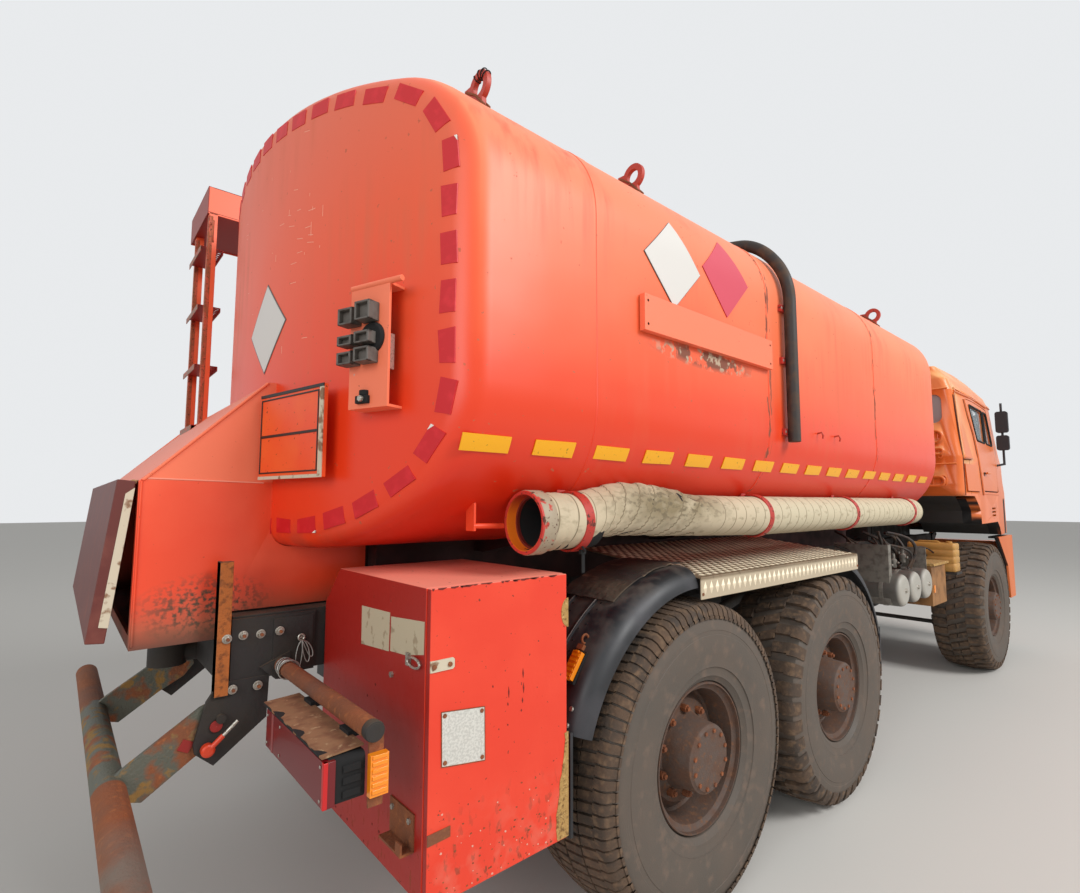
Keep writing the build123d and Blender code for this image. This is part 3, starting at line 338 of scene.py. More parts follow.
# Chassis lacquer under road dust: brown-black and dull, with dust lying on all that faces up.
chassis_black = material("dusty black chassis paint", "#262220", 0.65, chassis_coats, 0.02, 0.0006)
# Cast steel with oil on it: a sandy skin, a little glossier than the paint beside it.
casting_dark = material("oily cast steel", "#2A2623", 0.5, chassis_coats, 0.012, 0.0012)
# Mild steel rusted right through: brown, pitted and without any gloss.
rusty_steel = material("rusted mild steel", "#74442A", 0.85, RUST_COATS, 0.008, 0.0012)
# The same rust, with flakes of grey-green and ochre paint that still cling to the arms.
bar_steel = material("rust and old paint on the bar", "#7A4A30", 0.85, arm_coats, 0.008, 0.0012)
# Wheel paint baked by the brakes and dusted over: an even, dull brown.
wheel_brown = material("dusty brown wheel steel", "#54433A", 0.65,
                       [(0.06, 0.4, 0.65, "#5A3F30", 0.85), (0.02, 0.56, 0.68, "#6E4C36", 0.9)], 0.01, 0.0006)
# Zinc plate gone dull: a light grey metal with a blurred shine.
zinc = material("dull zinc plate", "#A9A8A2", 0.45, Metallic=0.9)
# Hot-dip galvanised sheet: crystals a few millimetres wide flicker between two greys.
galvanised = material("galvanised sheet", "#C4C2BA", 0.5, [(0.006, 0.4, 0.6, (1, 1, 1), 3, "#DAD8D0", 0.45)],
                      Metallic=0.3)
# Grey paint on pressed steel, painted dark as the shade under the truck, with darker patches and pale domed
# ends.
frame_grey = material("grey paint on pressed steel", "#5E5A54", 0.5,
                      lambda tree: [(0.12, 0.45, 0.75, "#4A443E", 0.6),
                                    (rise(tree, -1.12, -1.14, axis=1), "#A6A298", 0.5)])
# Dark red saddle enamel painted near black: painted shade under the tank and the tube.
saddle_painted_shade = material("painted shade on dark red saddle enamel", "#34110D", 0.7, [(0.1, 0.4, 0.7, "#1E1210", 0.85)])
# Enamel the colour of the dust on it: light tan, with brown where oil holds the dust.
unit_tan = material("dusty tan enamel", "#96683A", 0.6, [(0.1, 0.45, 0.7, "#6E4C2C", 0.8)])
# Red enamel on a folded door, painted maroon as painted shade, with paler patches.
door_painted_shade = material("maroon painted shade on a folded door", "#5E241C", 0.55, [(0.08, 0.5, 0.8, "#7A4034", 0.6)])
# Old cream paint on a worn edge: nearly white, with brown nicks.
door_edge = material("whitish paint on a worn edge", "#C9BEA6", 0.6, [(0.04, 0.55, 0.62, "#8A6A50", 0.8)])
# Zinc-bright bolt heads: small clear glints, with dirt in the corners.
bolt_steel = material("bright bolt steel", "#B8B4AA", 0.4, [(0.006, 0.5, 0.7, "#7A6A58", 0.7)], Metallic=0.8)
# An angle bar with fresh rust: much more orange than the old rust round it.
post_rust = material("orange-rusted angle steel", "#A85E28", 0.85,
                     [(0.02, 0.5, 0.65, "#7A4420", 0.9), (0.06, 0.6, 0.75, "#5A3622", 0.9)], 0.006)
# Enamel on straps that flex: deep red, chipped in spots a centimetre wide.
strap_red = material("chipped red strap enamel", "#B02C20", 0.45, [(0.014, 0.58, 0.62, "#5A2A20", 0.8)])
# Brick-red enamel of the eyes and hooks, rubbed to rust by slings.
eye_maroon = material("dark brick-red enamel", "#B23A28", 0.5, [(0.02, 0.6, 0.68, "#5A2A20", 0.8)])
print("steel finishes ready,", len(bpy.data.materials), "materials")

# %% [markdown]
# ## Rubber, plastic, cloth, plate and glass
# Tyres are carbon-black rubber that has gone grey, the guards moulded polyethylene, the tube a coated cloth
# on a wire spiral, the deck rolled aluminium. The cloth's stitching is drawn from a number that its mesh
# carries, so that line and groove always meet; a picture of cloth couldn't follow the twist.


# %% Rubber, plastic and cloth
def guard_coats(tree):
    return [(0.2, 0.45, 0.7, "#37363A", 0.6),
            (both(tree, rise(tree, 0.5, 1, normal=True), patches(tree, 0.1, 0.4, 0.6)), "#5A5048", 0.85)]


def canvas_coats(tree):
    lap = add_node(tree, "Attribute", attribute_name="wind").outputs["Fac"]
    lap = add_node(tree, "Math", {0: lap, 1: 0.5}, operation="PINGPONG").outputs[0]
    seam = add_node(tree, "MapRange", {"Value": lap, "From Min": 0.04, "From Max": 0.015}).outputs[0]
    dirty = around(tree, (-2.42, -1.24, 1.635), (0.48, 0.3, 0.1), 0.3)
    return [(0.3, 0.42, 0.62, "#B8AA90", 0.8), (rise(tree, -1.9, -1.5, axis=0), "#C4B89C", 0.75),
            (rise(tree, 1.53, 1.48), "#A6977C", 0.85),
            (both(tree, dirty, patches(tree, 0.14, 0.22, 0.5)), "#857659", 0.85),
            (both(tree, dirty, patches(tree, 0.03, 0.5, 0.62, (1, 1, 2))), "#6E624C", 0.9),
            (0.05, 0.56, 0.74, (1, 1, 2), "#9C8E74", 0.85), (seam, "#7A6C54", 0.9)]


# Carbon-black rubber scoured by gravel: no gloss, brown with the dust in its pores.
tread_rubber = material("dusty tread rubber", "#3E342C", 0.85,
                        [(0.12, 0.35, 0.65, "#5C4838", 0.95), (0.03, 0.5, 0.7, "#6E5844", 0.95)], 0.01, 0.001)
# The same rubber as the mould left it: smooth, greyed by ozone, with a faint sheen.
wall_rubber = material("greyed sidewall rubber", "#524A42", 0.6,
                       [(0.25, 0.35, 0.7, "#5E5248", 0.85), (0.05, 0.55, 0.75, "#6C5C50", 0.9)], 0.004,
                       0.0003)
# Hose rubber: black turned brown with dust, and a little shine left.
hose_rubber = material("ribbed black hose rubber", "#28201B", 0.6, [(0.06, 0.45, 0.65, "#4C3A2C", 0.8)])
# Moulded polyethylene: black with a waxy shine, and dust where it faces up.
guard_plastic = material("black moulded polyethylene", "#202124", 0.42, guard_coats)
# Canvas under a dull coating: cream, brown where boots have trodden it, dark along the stitching.
canvas = material("coated canvas", "#C4B498", 0.75, canvas_coats, 0.004, 0.0004)
# Polyethylene dyed tan: even and waxy, a little blotched by the sun.
tan_plastic = material("tan polyethylene", "#B98A45", 0.5, [(0.1, 0.45, 0.7, "#A87C40", 0.6)])
# Clips moulded in a grey-brown plastic: soft shine, cloudy with age.
lug_plastic = material("grey-brown moulded plastic", "#5C5650", 0.55, [(0.03, 0.5, 0.7, "#4A423C", 0.6)])
# Seat cloth in the cab's shade: dark and quite dull. Its weave is too fine to show from outside.
seat_cloth = material("woven seat cloth", "#2E2E33", 0.9)
# Vinyl of dashboard and mirror housings: near black with a soft shine.
dash_vinyl = material("grained dashboard vinyl", "#26262A", 0.7)
# Black rubber, and painted shade in gaps that light hardly reaches: the darkest tone of the truck.
black_gap = material("dark shadowed rubber", "#0C0B0B", 0.9)
print("rubber, plastic and cloth ready")

# %% Glass, plate, tape and film
# Float glass, tinted: sharp reflections of the sky over a dim view of the seats. Glass has an IOR of 1.5.
glass = material("tinted window glass", "#CCD6DA", 0.04, Transmission_Weight=0.5, IOR=1.5)
# Silver behind glass: a mirror with hardly any blur.
mirror_face = material("silvered mirror", "#C8CCCE", 0.03, Metallic=1)
# Moulded acrylic lenses: wine red with a dull skin of dust, and a clearer amber.
lens_red = material("wine-red lens", "#6A0A12", 0.35, Coat_Weight=0.15)
lens_amber = material("amber lens", "#F08A10", 0.25, Coat_Weight=0.4)
# Rolled aluminium walked dull: grey-brown between its lozenges, cleaner on the lip.
checker = material("worn aluminium plate", "#8C7A62", 0.5,
                   lambda tree: [(0.25, 0.45, 0.8, "#786650", 0.6), (0.03, 0.6, 0.75, "#665440", 0.7),
                                 (rise(tree, 1.325, 1.315), "#C0B096", 0.5)], Metallic=0.25)
# Where boots polish the same plate: bright, warm tips.
lozenge = material("bright worn lozenge of the plate", "#F6E8CC", 0.4, [(0.2, 0.5, 0.8, "#D6C6AA", 0.5)],
                   Metallic=0.3)
# Reflective tape: flat strong colour under a clear skin, scuffed brown in places.
tape_yellow = material("yellow reflective tape", "#F4AC08", 0.35, [(0.014, 0.64, 0.7, "#A8801E", 0.6)])
tape_red = material("red reflective tape", "#C80C18", 0.5, [(0.04, 0.5, 0.7, "#D41C26", 0.5)])
# What is left where tape has peeled: white and dull.
tape_backing = material("white tape backing", "#E9E4DA", 0.6)
# Printed vinyl film: even colour with a soft shine, and a thin grey line round it.
film_white = material("white sign film", "#D2CEC8", 0.45)
film_pink = material("sun-faded red sign film", "#CB3F53", 0.45)
film_border = material("grey printed line", "#5E5A58", 0.5)
# Stove enamel on a stamped sign: the purest orange of the truck, nicked to rust.
sign_orange = material("orange sign enamel", "#EE4E1E", 0.4,
                       [(0.2, 0.4, 0.7, "#F26428", 0.45), (0.012, 0.68, 0.7, "#7A3A22", 0.8)])
# Torn chipboard: yellow chips a centimetre long, rough enough to cast shadows.
board_wood = material("rough chipboard edge", "#B08A50", 0.9,
                      [(0.012, 0.52, 0.66, "#7A5A30", 0.95), (0.02, 0.55, 0.65, "#C8A468", 0.9)], 0.006,
                      0.002)
# Paper that has weathered without its print: beige and dull, with brown stains.
paper = material("weathered paper label", "#B9AD92", 0.85, [(0.04, 0.58, 0.64, "#9C8C72", 0.9)])
print(len(bpy.data.materials), "materials")

# %% [markdown]
# ## Building meshes
# A piece is gathered from simple forms: bars with a box or round section, outlines pushed out into plates,
# turned profiles and grids. Stacked modifiers on primitives could make the same forms, but points worked
# out in code land exactly where the frame says. Each ends up as one mesh on one body of the truck, and many
# have their edges rounded by a small bevel, because a real pressed or sawn edge always catches a little
# light.

# %% A shape that gathers points and faces
def along(axis, place, u, v):
    """A point at a place along an axis, with the two other coordinates in X, Y, Z order."""
    other = [u, v]
    return tuple(place if k == axis else other.pop(0) for k in range(3))


def circle(count, closed=False):
    """Even turns of a circle in radians. A closed one comes back to its start."""
    return [2 * pi * i / count for i in range(count + closed)]


def rounded(u, v, radius, count, inset=0.0):
    """A rectangle between pairs of limits, with round corners of so many points, drawn in by inset."""
    points = []
    for start, (su, sv) in enumerate(((-1, -1), (1, -1), (1, 1), (-1, 1))):
        for k in range(count):
            t = pi / 2 * (start + k / (count - 1))
            points.append((u[su < 0] + su * radius + (radius - inset) * cos(t),
                           v[sv < 0] + sv * radius + (radius - inset) * sin(t)))
    return points


def about(place, turn, axis):
    """A turn about an axis through a place."""
    return Matrix.Translation(place) @ Matrix.Rotation(turn, 4, axis) @ Matrix.Translation(-Vector(place))


class Shape:
    """Points and faces gathered from simple forms. A tag picks the material of a form."""

    def __init__(self):
        self.points, self.faces, self.tags = [], [], []

    def add(self, points, faces, tag=0, move=None):
        start = len(self.points)
        self.points += [tuple(move @ Vector(p)) if move else tuple(p) for p in points]
        self.faces += [tuple(start + i for i in face) for face in faces]
        self.tags += [tag] * len(faces)
        return self

    def box(self, x, y, z, tag=0, move=None):
        """A box between pairs of limits."""
        points = [(a, b, c) for a in x for b in y for c in z]
        faces = [(0, 1, 3, 2), (4, 6, 7, 5), (0, 4, 5, 1), (2, 3, 7, 6), (0, 2, 6, 4), (1, 5, 7, 3)]
        return self.add(points, faces, tag, move)

    def prism(self, points, tag=0, move=None):
        """A solid between two outlines of as many points each."""
        count = len(points) // 2
        faces = [tuple(range(count))[::-1], tuple(range(count, 2 * count))]
        faces += [(i, (i + 1) % count, count + (i + 1) % count, count + i) for i in range(count)]
        return self.add(points, faces, tag, move)

    def plate(self, outline, axis, ends, tag=0, move=None):
        """An outline in the plane across an axis, pushed out between two places along it."""
        return self.prism([along(axis, end, *pair) for end in ends for pair in outline], tag, move)

    def layers(self, points, count_u, count_v, tag=0):
        """A thin sheet: two layers of one grid of points, closed round their rim."""
        row, layer = count_v + 1, (count_u + 1) * (count_v + 1)
        faces = []
        for i in range(count_u):
            for j in range(count_v):
                k = i * row + j
                faces.append((k, k + row, k + row + 1, k + 1))
                faces.append(tuple(layer + m for m in (k, k + 1, k + row + 1, k + row)))
        rim = list(range(count_v)) + [count_v + i * row for i in range(count_u)]
        rim += [layer - 1 - j for j in range(count_v)] + [(count_u - i) * row for i in range(count_u)]
        faces += [(a, b, layer + b, layer + a) for a, b in zip(rim, rim[1:] + rim[:1])]
        return self.add(points, faces, tag)

    def turned(self, profile, axis, centre, steps=48, tag=0, move=None):
        """A closed profile of (place along the axis, radius) turned round an axis."""
        rows = len(profile)
        points = [Vector(centre) + Vector(along(axis, place, radius * cos(a), radius * sin(a)))
                  for a in circle(steps) for place, radius in profile]
        faces = []
        for i in range(steps):
            for j in range(rows):
                k, m = (i + 1) % steps, (j + 1) % rows
                faces.append((i * rows + j, i * rows + m, k * rows + m, k * rows + j))
        return self.add(points, faces, tag, move)

    def pipe(self, path, radius, steps=16, tag=0, move=None):
        """A round bar along a path of points, closed at its ends."""
        path = [Vector(p) for p in path]
        side = (path[1] - path[0]).orthogonal().normalized()
        points = []
        for i, here in enumerate(path):
            run = (path[min(i + 1, len(path) - 1)] - path[max(i - 1, 0)]).normalized()
            side = (side - run * side.dot(run)).normalized()
            other = run.cross(side)
            points += [here + (side * cos(a) + other * sin(a)) * radius for a in circle(steps)]
        faces = [tuple(range(steps))[::-1], tuple(range(len(points) - steps, len(points)))]
        for i in range(len(path) - 1):
            for k in range(steps):
                m = (k + 1) % steps
                faces.append((i * steps + k, i * steps + m, (i + 1) * steps + m, (i + 1) * steps + k))
        return self.add(points, faces, tag, move)

    def bolt(self, place, way, radius, height, tag=0, sides=6):
        """A bolt head that stands off a face along a way."""
        start = Vector(place)
        return self.pipe([start, start + Vector(way).normalized() * height], radius, sides, tag)


print("forms:", ", ".join(name for name in vars(Shape) if name[0] != "_"))

# %% [markdown]
# A piece takes its body from the packed node that it belongs to, so it moves as that node does. Where it
# stands for the node, the node is hidden.

# %% Turning a shape into a piece on its body
BEVEL_ANGLE = radians(32)


@contextmanager
def editing(mesh):
    """Opens a mesh for bmesh's tools and writes it back."""
    whole = bmesh.new()
    whole.from_mesh(mesh)
    yield whole
    whole.to_mesh(mesh)
    whole.free()


def settle(thing, node, stands=True, bevel=0, smooth=38):
    """Links a mesh object, shades it, rounds its edges and puts it on the node's body."""
    scene.collection.objects.link(thing)
    thing.data.shade_smooth()
    thing.data.set_sharp_from_angle(angle=radians(smooth))
    if bevel:
        edge = thing.modifiers.new("rounded edges", "BEVEL")
        edge.width = bevel
        edge.segments = 2
        edge.limit_method = "ANGLE"
        edge.angle_limit = BEVEL_ANGLE
        edge.harden_normals = True
    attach(thing, frame["nodes"][node]["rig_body"])
    if stands:
        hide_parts(node)
    print(f"{thing.name}: {len(thing.data.polygons)} faces")
    return thing


def piece(name, shape, finishes, node, stands=False, bevel=0, smooth=38, heal=True):
    """Makes a shape's mesh with its finishes, one for each tag, as a piece of the node."""
    mesh = bpy.data.meshes.new(name)
    mesh.from_pydata(shape.points, [], shape.faces)
    for finish in finishes if isinstance(finishes, (list, tuple)) else [finishes]:
        mesh.materials.append(finish)
    mesh.polygons.foreach_set("material_index", shape.tags)
    if heal:
        with editing(mesh) as whole:
            bmesh.ops.recalc_face_normals(whole, faces=whole.faces)
    return settle(bpy.data.objects.new(name, mesh), node, stands, bevel, smooth)


def dressed(node, finish, bevel=0.003, join=True):
    """A copy of a packed node with joined facets and rounded edges, which stands for it."""
    mesh = frame["nodes"][node].data.copy()
    mesh.materials.clear()
    mesh.materials.append(finish)
    with editing(mesh) as whole:
        bmesh.ops.remove_doubles(whole, verts=whole.verts, dist=1e-5)
        if join:
            bmesh.ops.dissolve_limit(whole, angle_limit=radians(1), verts=whole.verts, edges=whole.edges)
    for face in mesh.polygons:
        face.material_index = 0
    return settle(bpy.data.objects.new(node + "_dressed", mesh), node, True, bevel)


# %% [markdown]
# ## Tank shell
# The section is the one that such tanks are rolled to: flat floor, wide bilge, straight flank, tight
# shoulder and a low crown, all tangent. The heads are bent about an upright axis and meet the shell in a
# knuckle. Working the points out from these few radii keeps every ring smooth, and lets the tape and the
# signs lie on the same skin.

# %% Section and heads of the tank
TANK_LOW, TANK_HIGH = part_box("tank_shell")
HEAD_RISE, KNUCKLE = 0.3, 0.07
FLOOR_HALF, BILGE_R, BILGE_TURN = 0.5, 1.1, radians(28)
CROWN_R, CROWN_HALF = 3.2, 0.975
TANK_HALF = TANK_HIGH.y
REAR_EDGE, FRONT_EDGE = TANK_LOW.x + HEAD_RISE, TANK_HIGH.x - HEAD_RISE
HEAD_R = (TANK_HALF ** 2 + HEAD_RISE ** 2) / (2 * HEAD_RISE)


def arc(centre, radius, start, end, count):
    """Points of an arc with their outward directions, its first point left out."""
    turns = [start + (end - start) * i / count for i in range(1, count + 1)]
    return [(centre[0] + radius * cos(t), centre[1] + radius * sin(t), cos(t), sin(t)) for t in turns]


def tank_section():
    """Half of the section, from the middle of the floor to the crown: (y, z, outward y, outward z)."""
    crown_turn = asin(CROWN_HALF / CROWN_R)
    corner_r = (TANK_HALF - CROWN_HALF) / (1 - sin(crown_turn))
    side_top = TANK_HIGH.z - CROWN_R * (1 - cos(crown_turn)) - corner_r * cos(crown_turn)
    bilge_y = FLOOR_HALF + BILGE_R * sin(BILGE_TURN)
    bilge_z = TANK_LOW.z + BILGE_R * (1 - cos(BILGE_TURN))
    lower_r = (TANK_HALF - bilge_y) / (1 - sin(BILGE_TURN))
    lower_z = bilge_z + lower_r * cos(BILGE_TURN)
    low, turned = -pi / 2, -pi / 2 + BILGE_TURN
    rows = [(FLOOR_HALF * i / 8, TANK_LOW.z, 0, -1) for i in range(9)]
    rows += arc((FLOOR_HALF, TANK_LOW.z + BILGE_R), BILGE_R, low, turned, 14)
    rows += arc((TANK_HALF - lower_r, lower_z), lower_r, turned, 0, 20)
    rows += [(TANK_HALF, lower_z + (side_top - lower_z) * i / 16, 1, 0) for i in range(1, 17)]
    rows += arc((TANK_HALF - corner_r, side_top), corner_r, 0, pi / 2 - crown_turn, 16)
    rows += arc((0, TANK_HIGH.z - CROWN_R), CROWN_R, pi / 2 - crown_turn, pi / 2, 20)
    return rows


HALF = tank_section()
RIGHT_HALF = np.array([(-y, z, -ny, nz) for y, z, ny, nz in HALF])
ROUND = np.array([(y, z, ny, nz) for y, z, ny, nz in HALF]
                 + [(-y, z, -ny, nz) for y, z, ny, nz in HALF[-2:0:-1]])
GIRTH = np.concatenate([[0], np.cumsum(np.hypot(*np.diff(RIGHT_HALF[:, :2], axis=0).T))])
print("half girth of the tank:", round(GIRTH[-1], 3), "m in", len(HALF), "points")


def head_x(y, end=-1):
    """Where a head is at this distance from the middle: end is -1 for the rear and 1 for the front."""
    dish = HEAD_R - sqrt(HEAD_R ** 2 - y * y)
    return (TANK_LOW.x + dish) if end < 0 else (TANK_HIGH.x - dish)


def on_flank(x, girth, lift=0.0):
    """A point on the tank's right side, girth metres round from the middle of its floor."""
    y, z, ny, nz = (np.interp(girth, GIRTH, RIGHT_HALF[:, k]) for k in range(4))
    return (x, y + ny * lift, z + nz * lift)


def girth_at(z):
    """How far round the right side this height is, below the crown."""
    return float(np.interp(z, RIGHT_HALF[:, 1], GIRTH))


# %% Shell mesh with lap seams and a knuckle round both heads
KNUCKLE_STEPS, HEAD_RINGS, SEAM_STEP = 7, 22, 0.0025


def seam_lift(x):
    """The shell's courses overlap: between the second and third seam the outer course stands proud."""
    for seam in SEAM_X:
        if seam - 0.004 < x < seam + 0.05:
            return 0.0
    return -SEAM_STEP


def shell_ring(x, inset=0.0, shift=0.0):
    """One ring of the shell: drawn in by inset, at x plus the head's bend where shift is not 0."""
    ring = []
    for y, z, ny, nz in ROUND:
        here_y, here_z = y - ny * inset, z - nz * inset
        place = head_x(here_y, shift) - shift * x if shift else x
        ring.append((place, here_y, here_z))
    return ring


def tank_mesh():
    rings = []
    for end in (-1, 1):
        cap = []
        for i in range(KNUCKLE_STEPS + 1):
            turn = pi / 2 * i / KNUCKLE_STEPS
            cap.append(shell_ring(KNUCKLE * (1 - sin(turn)),
                                  SEAM_STEP + (KNUCKLE - SEAM_STEP) * (1 - cos(turn)), end))
        middle = sum(z for _, _, z in cap[-1]) / len(ROUND)
        for k in range(1, HEAD_RINGS + 1):
            scale = 1 - k / (HEAD_RINGS + 0.5)
            cap.append([(head_x(y * scale, end), y * scale, middle + (z - middle) * scale)
                        for _, y, z in cap[KNUCKLE_STEPS]])
        rings.append(cap)
    places = set(np.linspace(REAR_EDGE + 0.3, FRONT_EDGE - 0.3, 60))
    for seam in SEAM_X:
        places |= {seam - 0.005, seam - 0.003, seam + 0.049, seam + 0.051}
    body = [[(x, y + ny * seam_lift(x), z + nz * seam_lift(x)) for y, z, ny, nz in ROUND]
            for x in sorted(places)]
    return rings[0][::-1] + body + rings[1]


def closed_rings(shape, rings, tag=0):
    """Joins rings of points into a closed skin."""
    count = len(rings[0])
    points = [p for ring in rings for p in ring]
    faces = [(i * count + k, i * count + (k + 1) % count, (i + 1) * count + (k + 1) % count,
              (i + 1) * count + k) for i in range(len(rings) - 1) for k in range(count)]
    faces += [tuple(range(count))[::-1], tuple(range(len(points) - count, len(points)))]
    return shape.add(points, faces, tag)


piece("tank_shell_skin", closed_rings(Shape(), tank_mesh()), tank_enamel, "tank_shell", stands=True)

# %% [markdown]
# ## Tape and signs
# Reflective tape and printed film are thinner than a fingernail, so each strip is a small grid laid on the
# tank's own skin a millimetre proud. The side has yellow strips at an even pitch, the rear head a ring of
# red ones, and some of those have peeled back to white. The signs stay blank, as printed film without its
# print.

# %% Strips and films that follow the skin
FILM = 0.0016


def film(shape, place, corners, tag=0, steps=6, lift=FILM):
    """A four-cornered film: place(u, v, lift) maps flat corners to the skin. It has a closed thin edge."""
    (a, b), (c, d), (e, f), (g, h) = corners
    points = []
    for height in (lift, -FILM):
        for i in range(steps + 1):
            for j in range(steps + 1):
                s, t = i / steps, j / steps
                u = (a * (1 - s) + c * s) * (1 - t) + (g * (1 - s) + e * s) * t
                v = (b * (1 - s) + d * s) * (1 - t) + (h * (1 - s) + f * s) * t
                points.append(place(u, v, height))
    return shape.layers(points, steps, steps, tag)


def head_place(u, v, lift=0.0):
    """A place on the rear head, from its Y and Z."""
    return (head_x(u) - lift, u, v)


def square(u, v, width, height, turn=0.0, jitter=0.0):
    """Corners of a rectangle about its middle, turned, each moved a little at random."""
    c, s = cos(turn), sin(turn)
    corners = []
    for i, j in ((-1, -1), (1, -1), (1, 1), (-1, 1)):
        a, b = i * width / 2, j * height / 2
        corners.append((u + a * c - b * s + dice.uniform(-jitter, jitter),
                        v + a * s + b * c + dice.uniform(-jitter, jitter)))
    return corners


dice = random.Random(7)
YELLOW_START, YELLOW_PITCH, YELLOW_COUNT, YELLOW_SIZE, YELLOW_Z = -3.345, 0.27, 16, (0.172, 0.052), 1.815
yellow = Shape()
for i in range(YELLOW_COUNT):
    middle = (YELLOW_START + YELLOW_SIZE[0] / 2 + i * YELLOW_PITCH, girth_at(YELLOW_Z))
    film(yellow, on_flank, square(*middle, *YELLOW_SIZE, jitter=0.002))
piece("yellow_tape", yellow, tape_yellow, "tank_shell", heal=False)
print("yellow strips:", YELLOW_COUNT)

# %% Red strips round the rear head
RED_SIZE, RED_PITCH, RED_INSET = (0.1, 0.052), 0.147, 0.078
inner = np.array([(y - ny * RED_INSET, z - nz * RED_INSET) for y, z, ny, nz in ROUND])
steps_round = np.hypot(*np.diff(np.vstack([inner, inner[:1]]), axis=0).T)
run_round = np.concatenate([[0], np.cumsum(steps_round)])
loop = np.vstack([inner, inner[:1]])
red = Shape()
for i in range(int(run_round[-1] / RED_PITCH)):
    s = (i + 0.5) * RED_PITCH - 0.03
    here = [np.interp(s, run_round, loop[:, k]) for k in (0, 1)]
    ahead = [np.interp((s + 0.02) % run_round[-1], run_round, loop[:, k]) for k in (0, 1)]
    turn = atan2(ahead[1] - here[1], ahead[0] - here[0])
    corners = square(*here, *RED_SIZE, turn, jitter=0.004)
    film(red, head_place, corners, tag=0, steps=4)
    if dice.random() < 0.25:
        k = dice.randrange(4)
        (a, b), (c, d), (e, f) = corners[k], corners[(k + 1) % 4], corners[k - 1]
        reach = dice.uniform(0.12, 0.28)
        peeled = [(a, b), (a + (c - a) * reach, b + (d - b) * reach),
                  (a + ((c + e) / 2 - a) * reach, b + ((d + f) / 2 - b) * reach),
                  (a + (e - a) * reach, b + (f - b) * reach)]
        film(red, head_place, peeled, tag=1, steps=2, lift=FILM * 1.8)
piece("red_tape", red, [tape_red, tape_backing], "tank_shell", heal=False)
scuffs = Shape()
for middle_y, middle_z, spread, count in ((-0.52, 2.56, 0.07, 16), (-0.4, 2.85, 0.1, 8), (-0.3, 2.35, 0.3, 8),
                                          (0.2, 2.8, 0.3, 8)):
    for _ in range(count):
        place = (middle_y + dice.gauss(0, spread), middle_z + dice.gauss(0, spread))
        corners = square(*place, dice.uniform(0.006, 0.045), 0.0016, dice.choice((0.1, 0.25, pi / 2)))
        film(scuffs, head_place, corners, steps=1, lift=0.0004)
# Enamel scraped to its chalky underside: thin dull lines, paler than the head.
scuff_pale = material("pale scuff in the enamel", "#F0B49C", 0.7)
piece("head_scuffs", scuffs, scuff_pale, "tank_shell", heal=False)
print("red strips:", int(run_round[-1] / RED_PITCH))

# %% Blank diamonds on the side and on the head
SIDE_DIAMOND, HEAD_DIAMOND = 0.262, 0.252
signs = Shape()
for tag, x, z, line in ((0, -2.385, 2.6, True), (1, -1.995, 2.65, False)):
    middle = (x, girth_at(z))
    film(signs, on_flank, square(*middle, SIDE_DIAMOND, SIDE_DIAMOND, pi / 4), tag=2 if line else tag,
         steps=10)
    if line:
        film(signs, on_flank, square(*middle, SIDE_DIAMOND * 0.985, SIDE_DIAMOND * 0.985, pi / 4), tag=tag,
             steps=10, lift=FILM * 1.4)
film(signs, head_place, square(-0.24, 2.31, HEAD_DIAMOND, HEAD_DIAMOND, pi / 4), tag=2, steps=8)
film(signs, head_place, square(-0.24, 2.31, HEAD_DIAMOND * 0.96, HEAD_DIAMOND * 0.96, pi / 4), tag=0, steps=8,
     lift=FILM * 1.5)
piece("blank_signs", signs, [film_white, film_pink, film_border], "tank_shell", heal=False)

# %% [markdown]
# ## Canvas tube
# A sleeve of coated canvas wound on a wire spiral lies in four strap clamps and slides over a painted steel
# ring at its open end. Between the clamps nothing holds its shape, so near the rear it has been twisted and
# squeezed: the seams run steeper there and each turn stands a little over the next. The girth of cloth
# doesn't change, so where we press the section flat it gets wider. The seam's count is kept on the points,
# and the dark line of stitching is drawn from it, so line and groove always meet.

# %% Canvas sleeve with its seams and folds
TUBE_Y, TUBE_Z, SLEEVE_R, SEAM_PITCH = -1.165, 1.577, 0.0965, 0.085
SLEEVE_ROWS = [(-3.06, 1.671, 1.484), (-2.88, 1.672, 1.486), (-2.78, 1.688, 1.518), (-2.64, 1.714, 1.522),
               (-2.53, 1.716, 1.516), (-2.4, 1.702, 1.51), (-2.28, 1.682, 1.506), (-2.15, 1.672, 1.5),
               (-1.8, 1.669, 1.489), (-1.676, 1.67, 1.484), (0.56, 1.67, 1.484)]
ROUND_STEPS, DENT = 72, (-2.26, radians(118))


def window(x, start, end, edge):
    """1 between two places, falling smoothly to 0 over the edge."""
    t = min(max(min(x - start, end - x) / edge, 0), 1)
    return t * t * (3 - 2 * t)


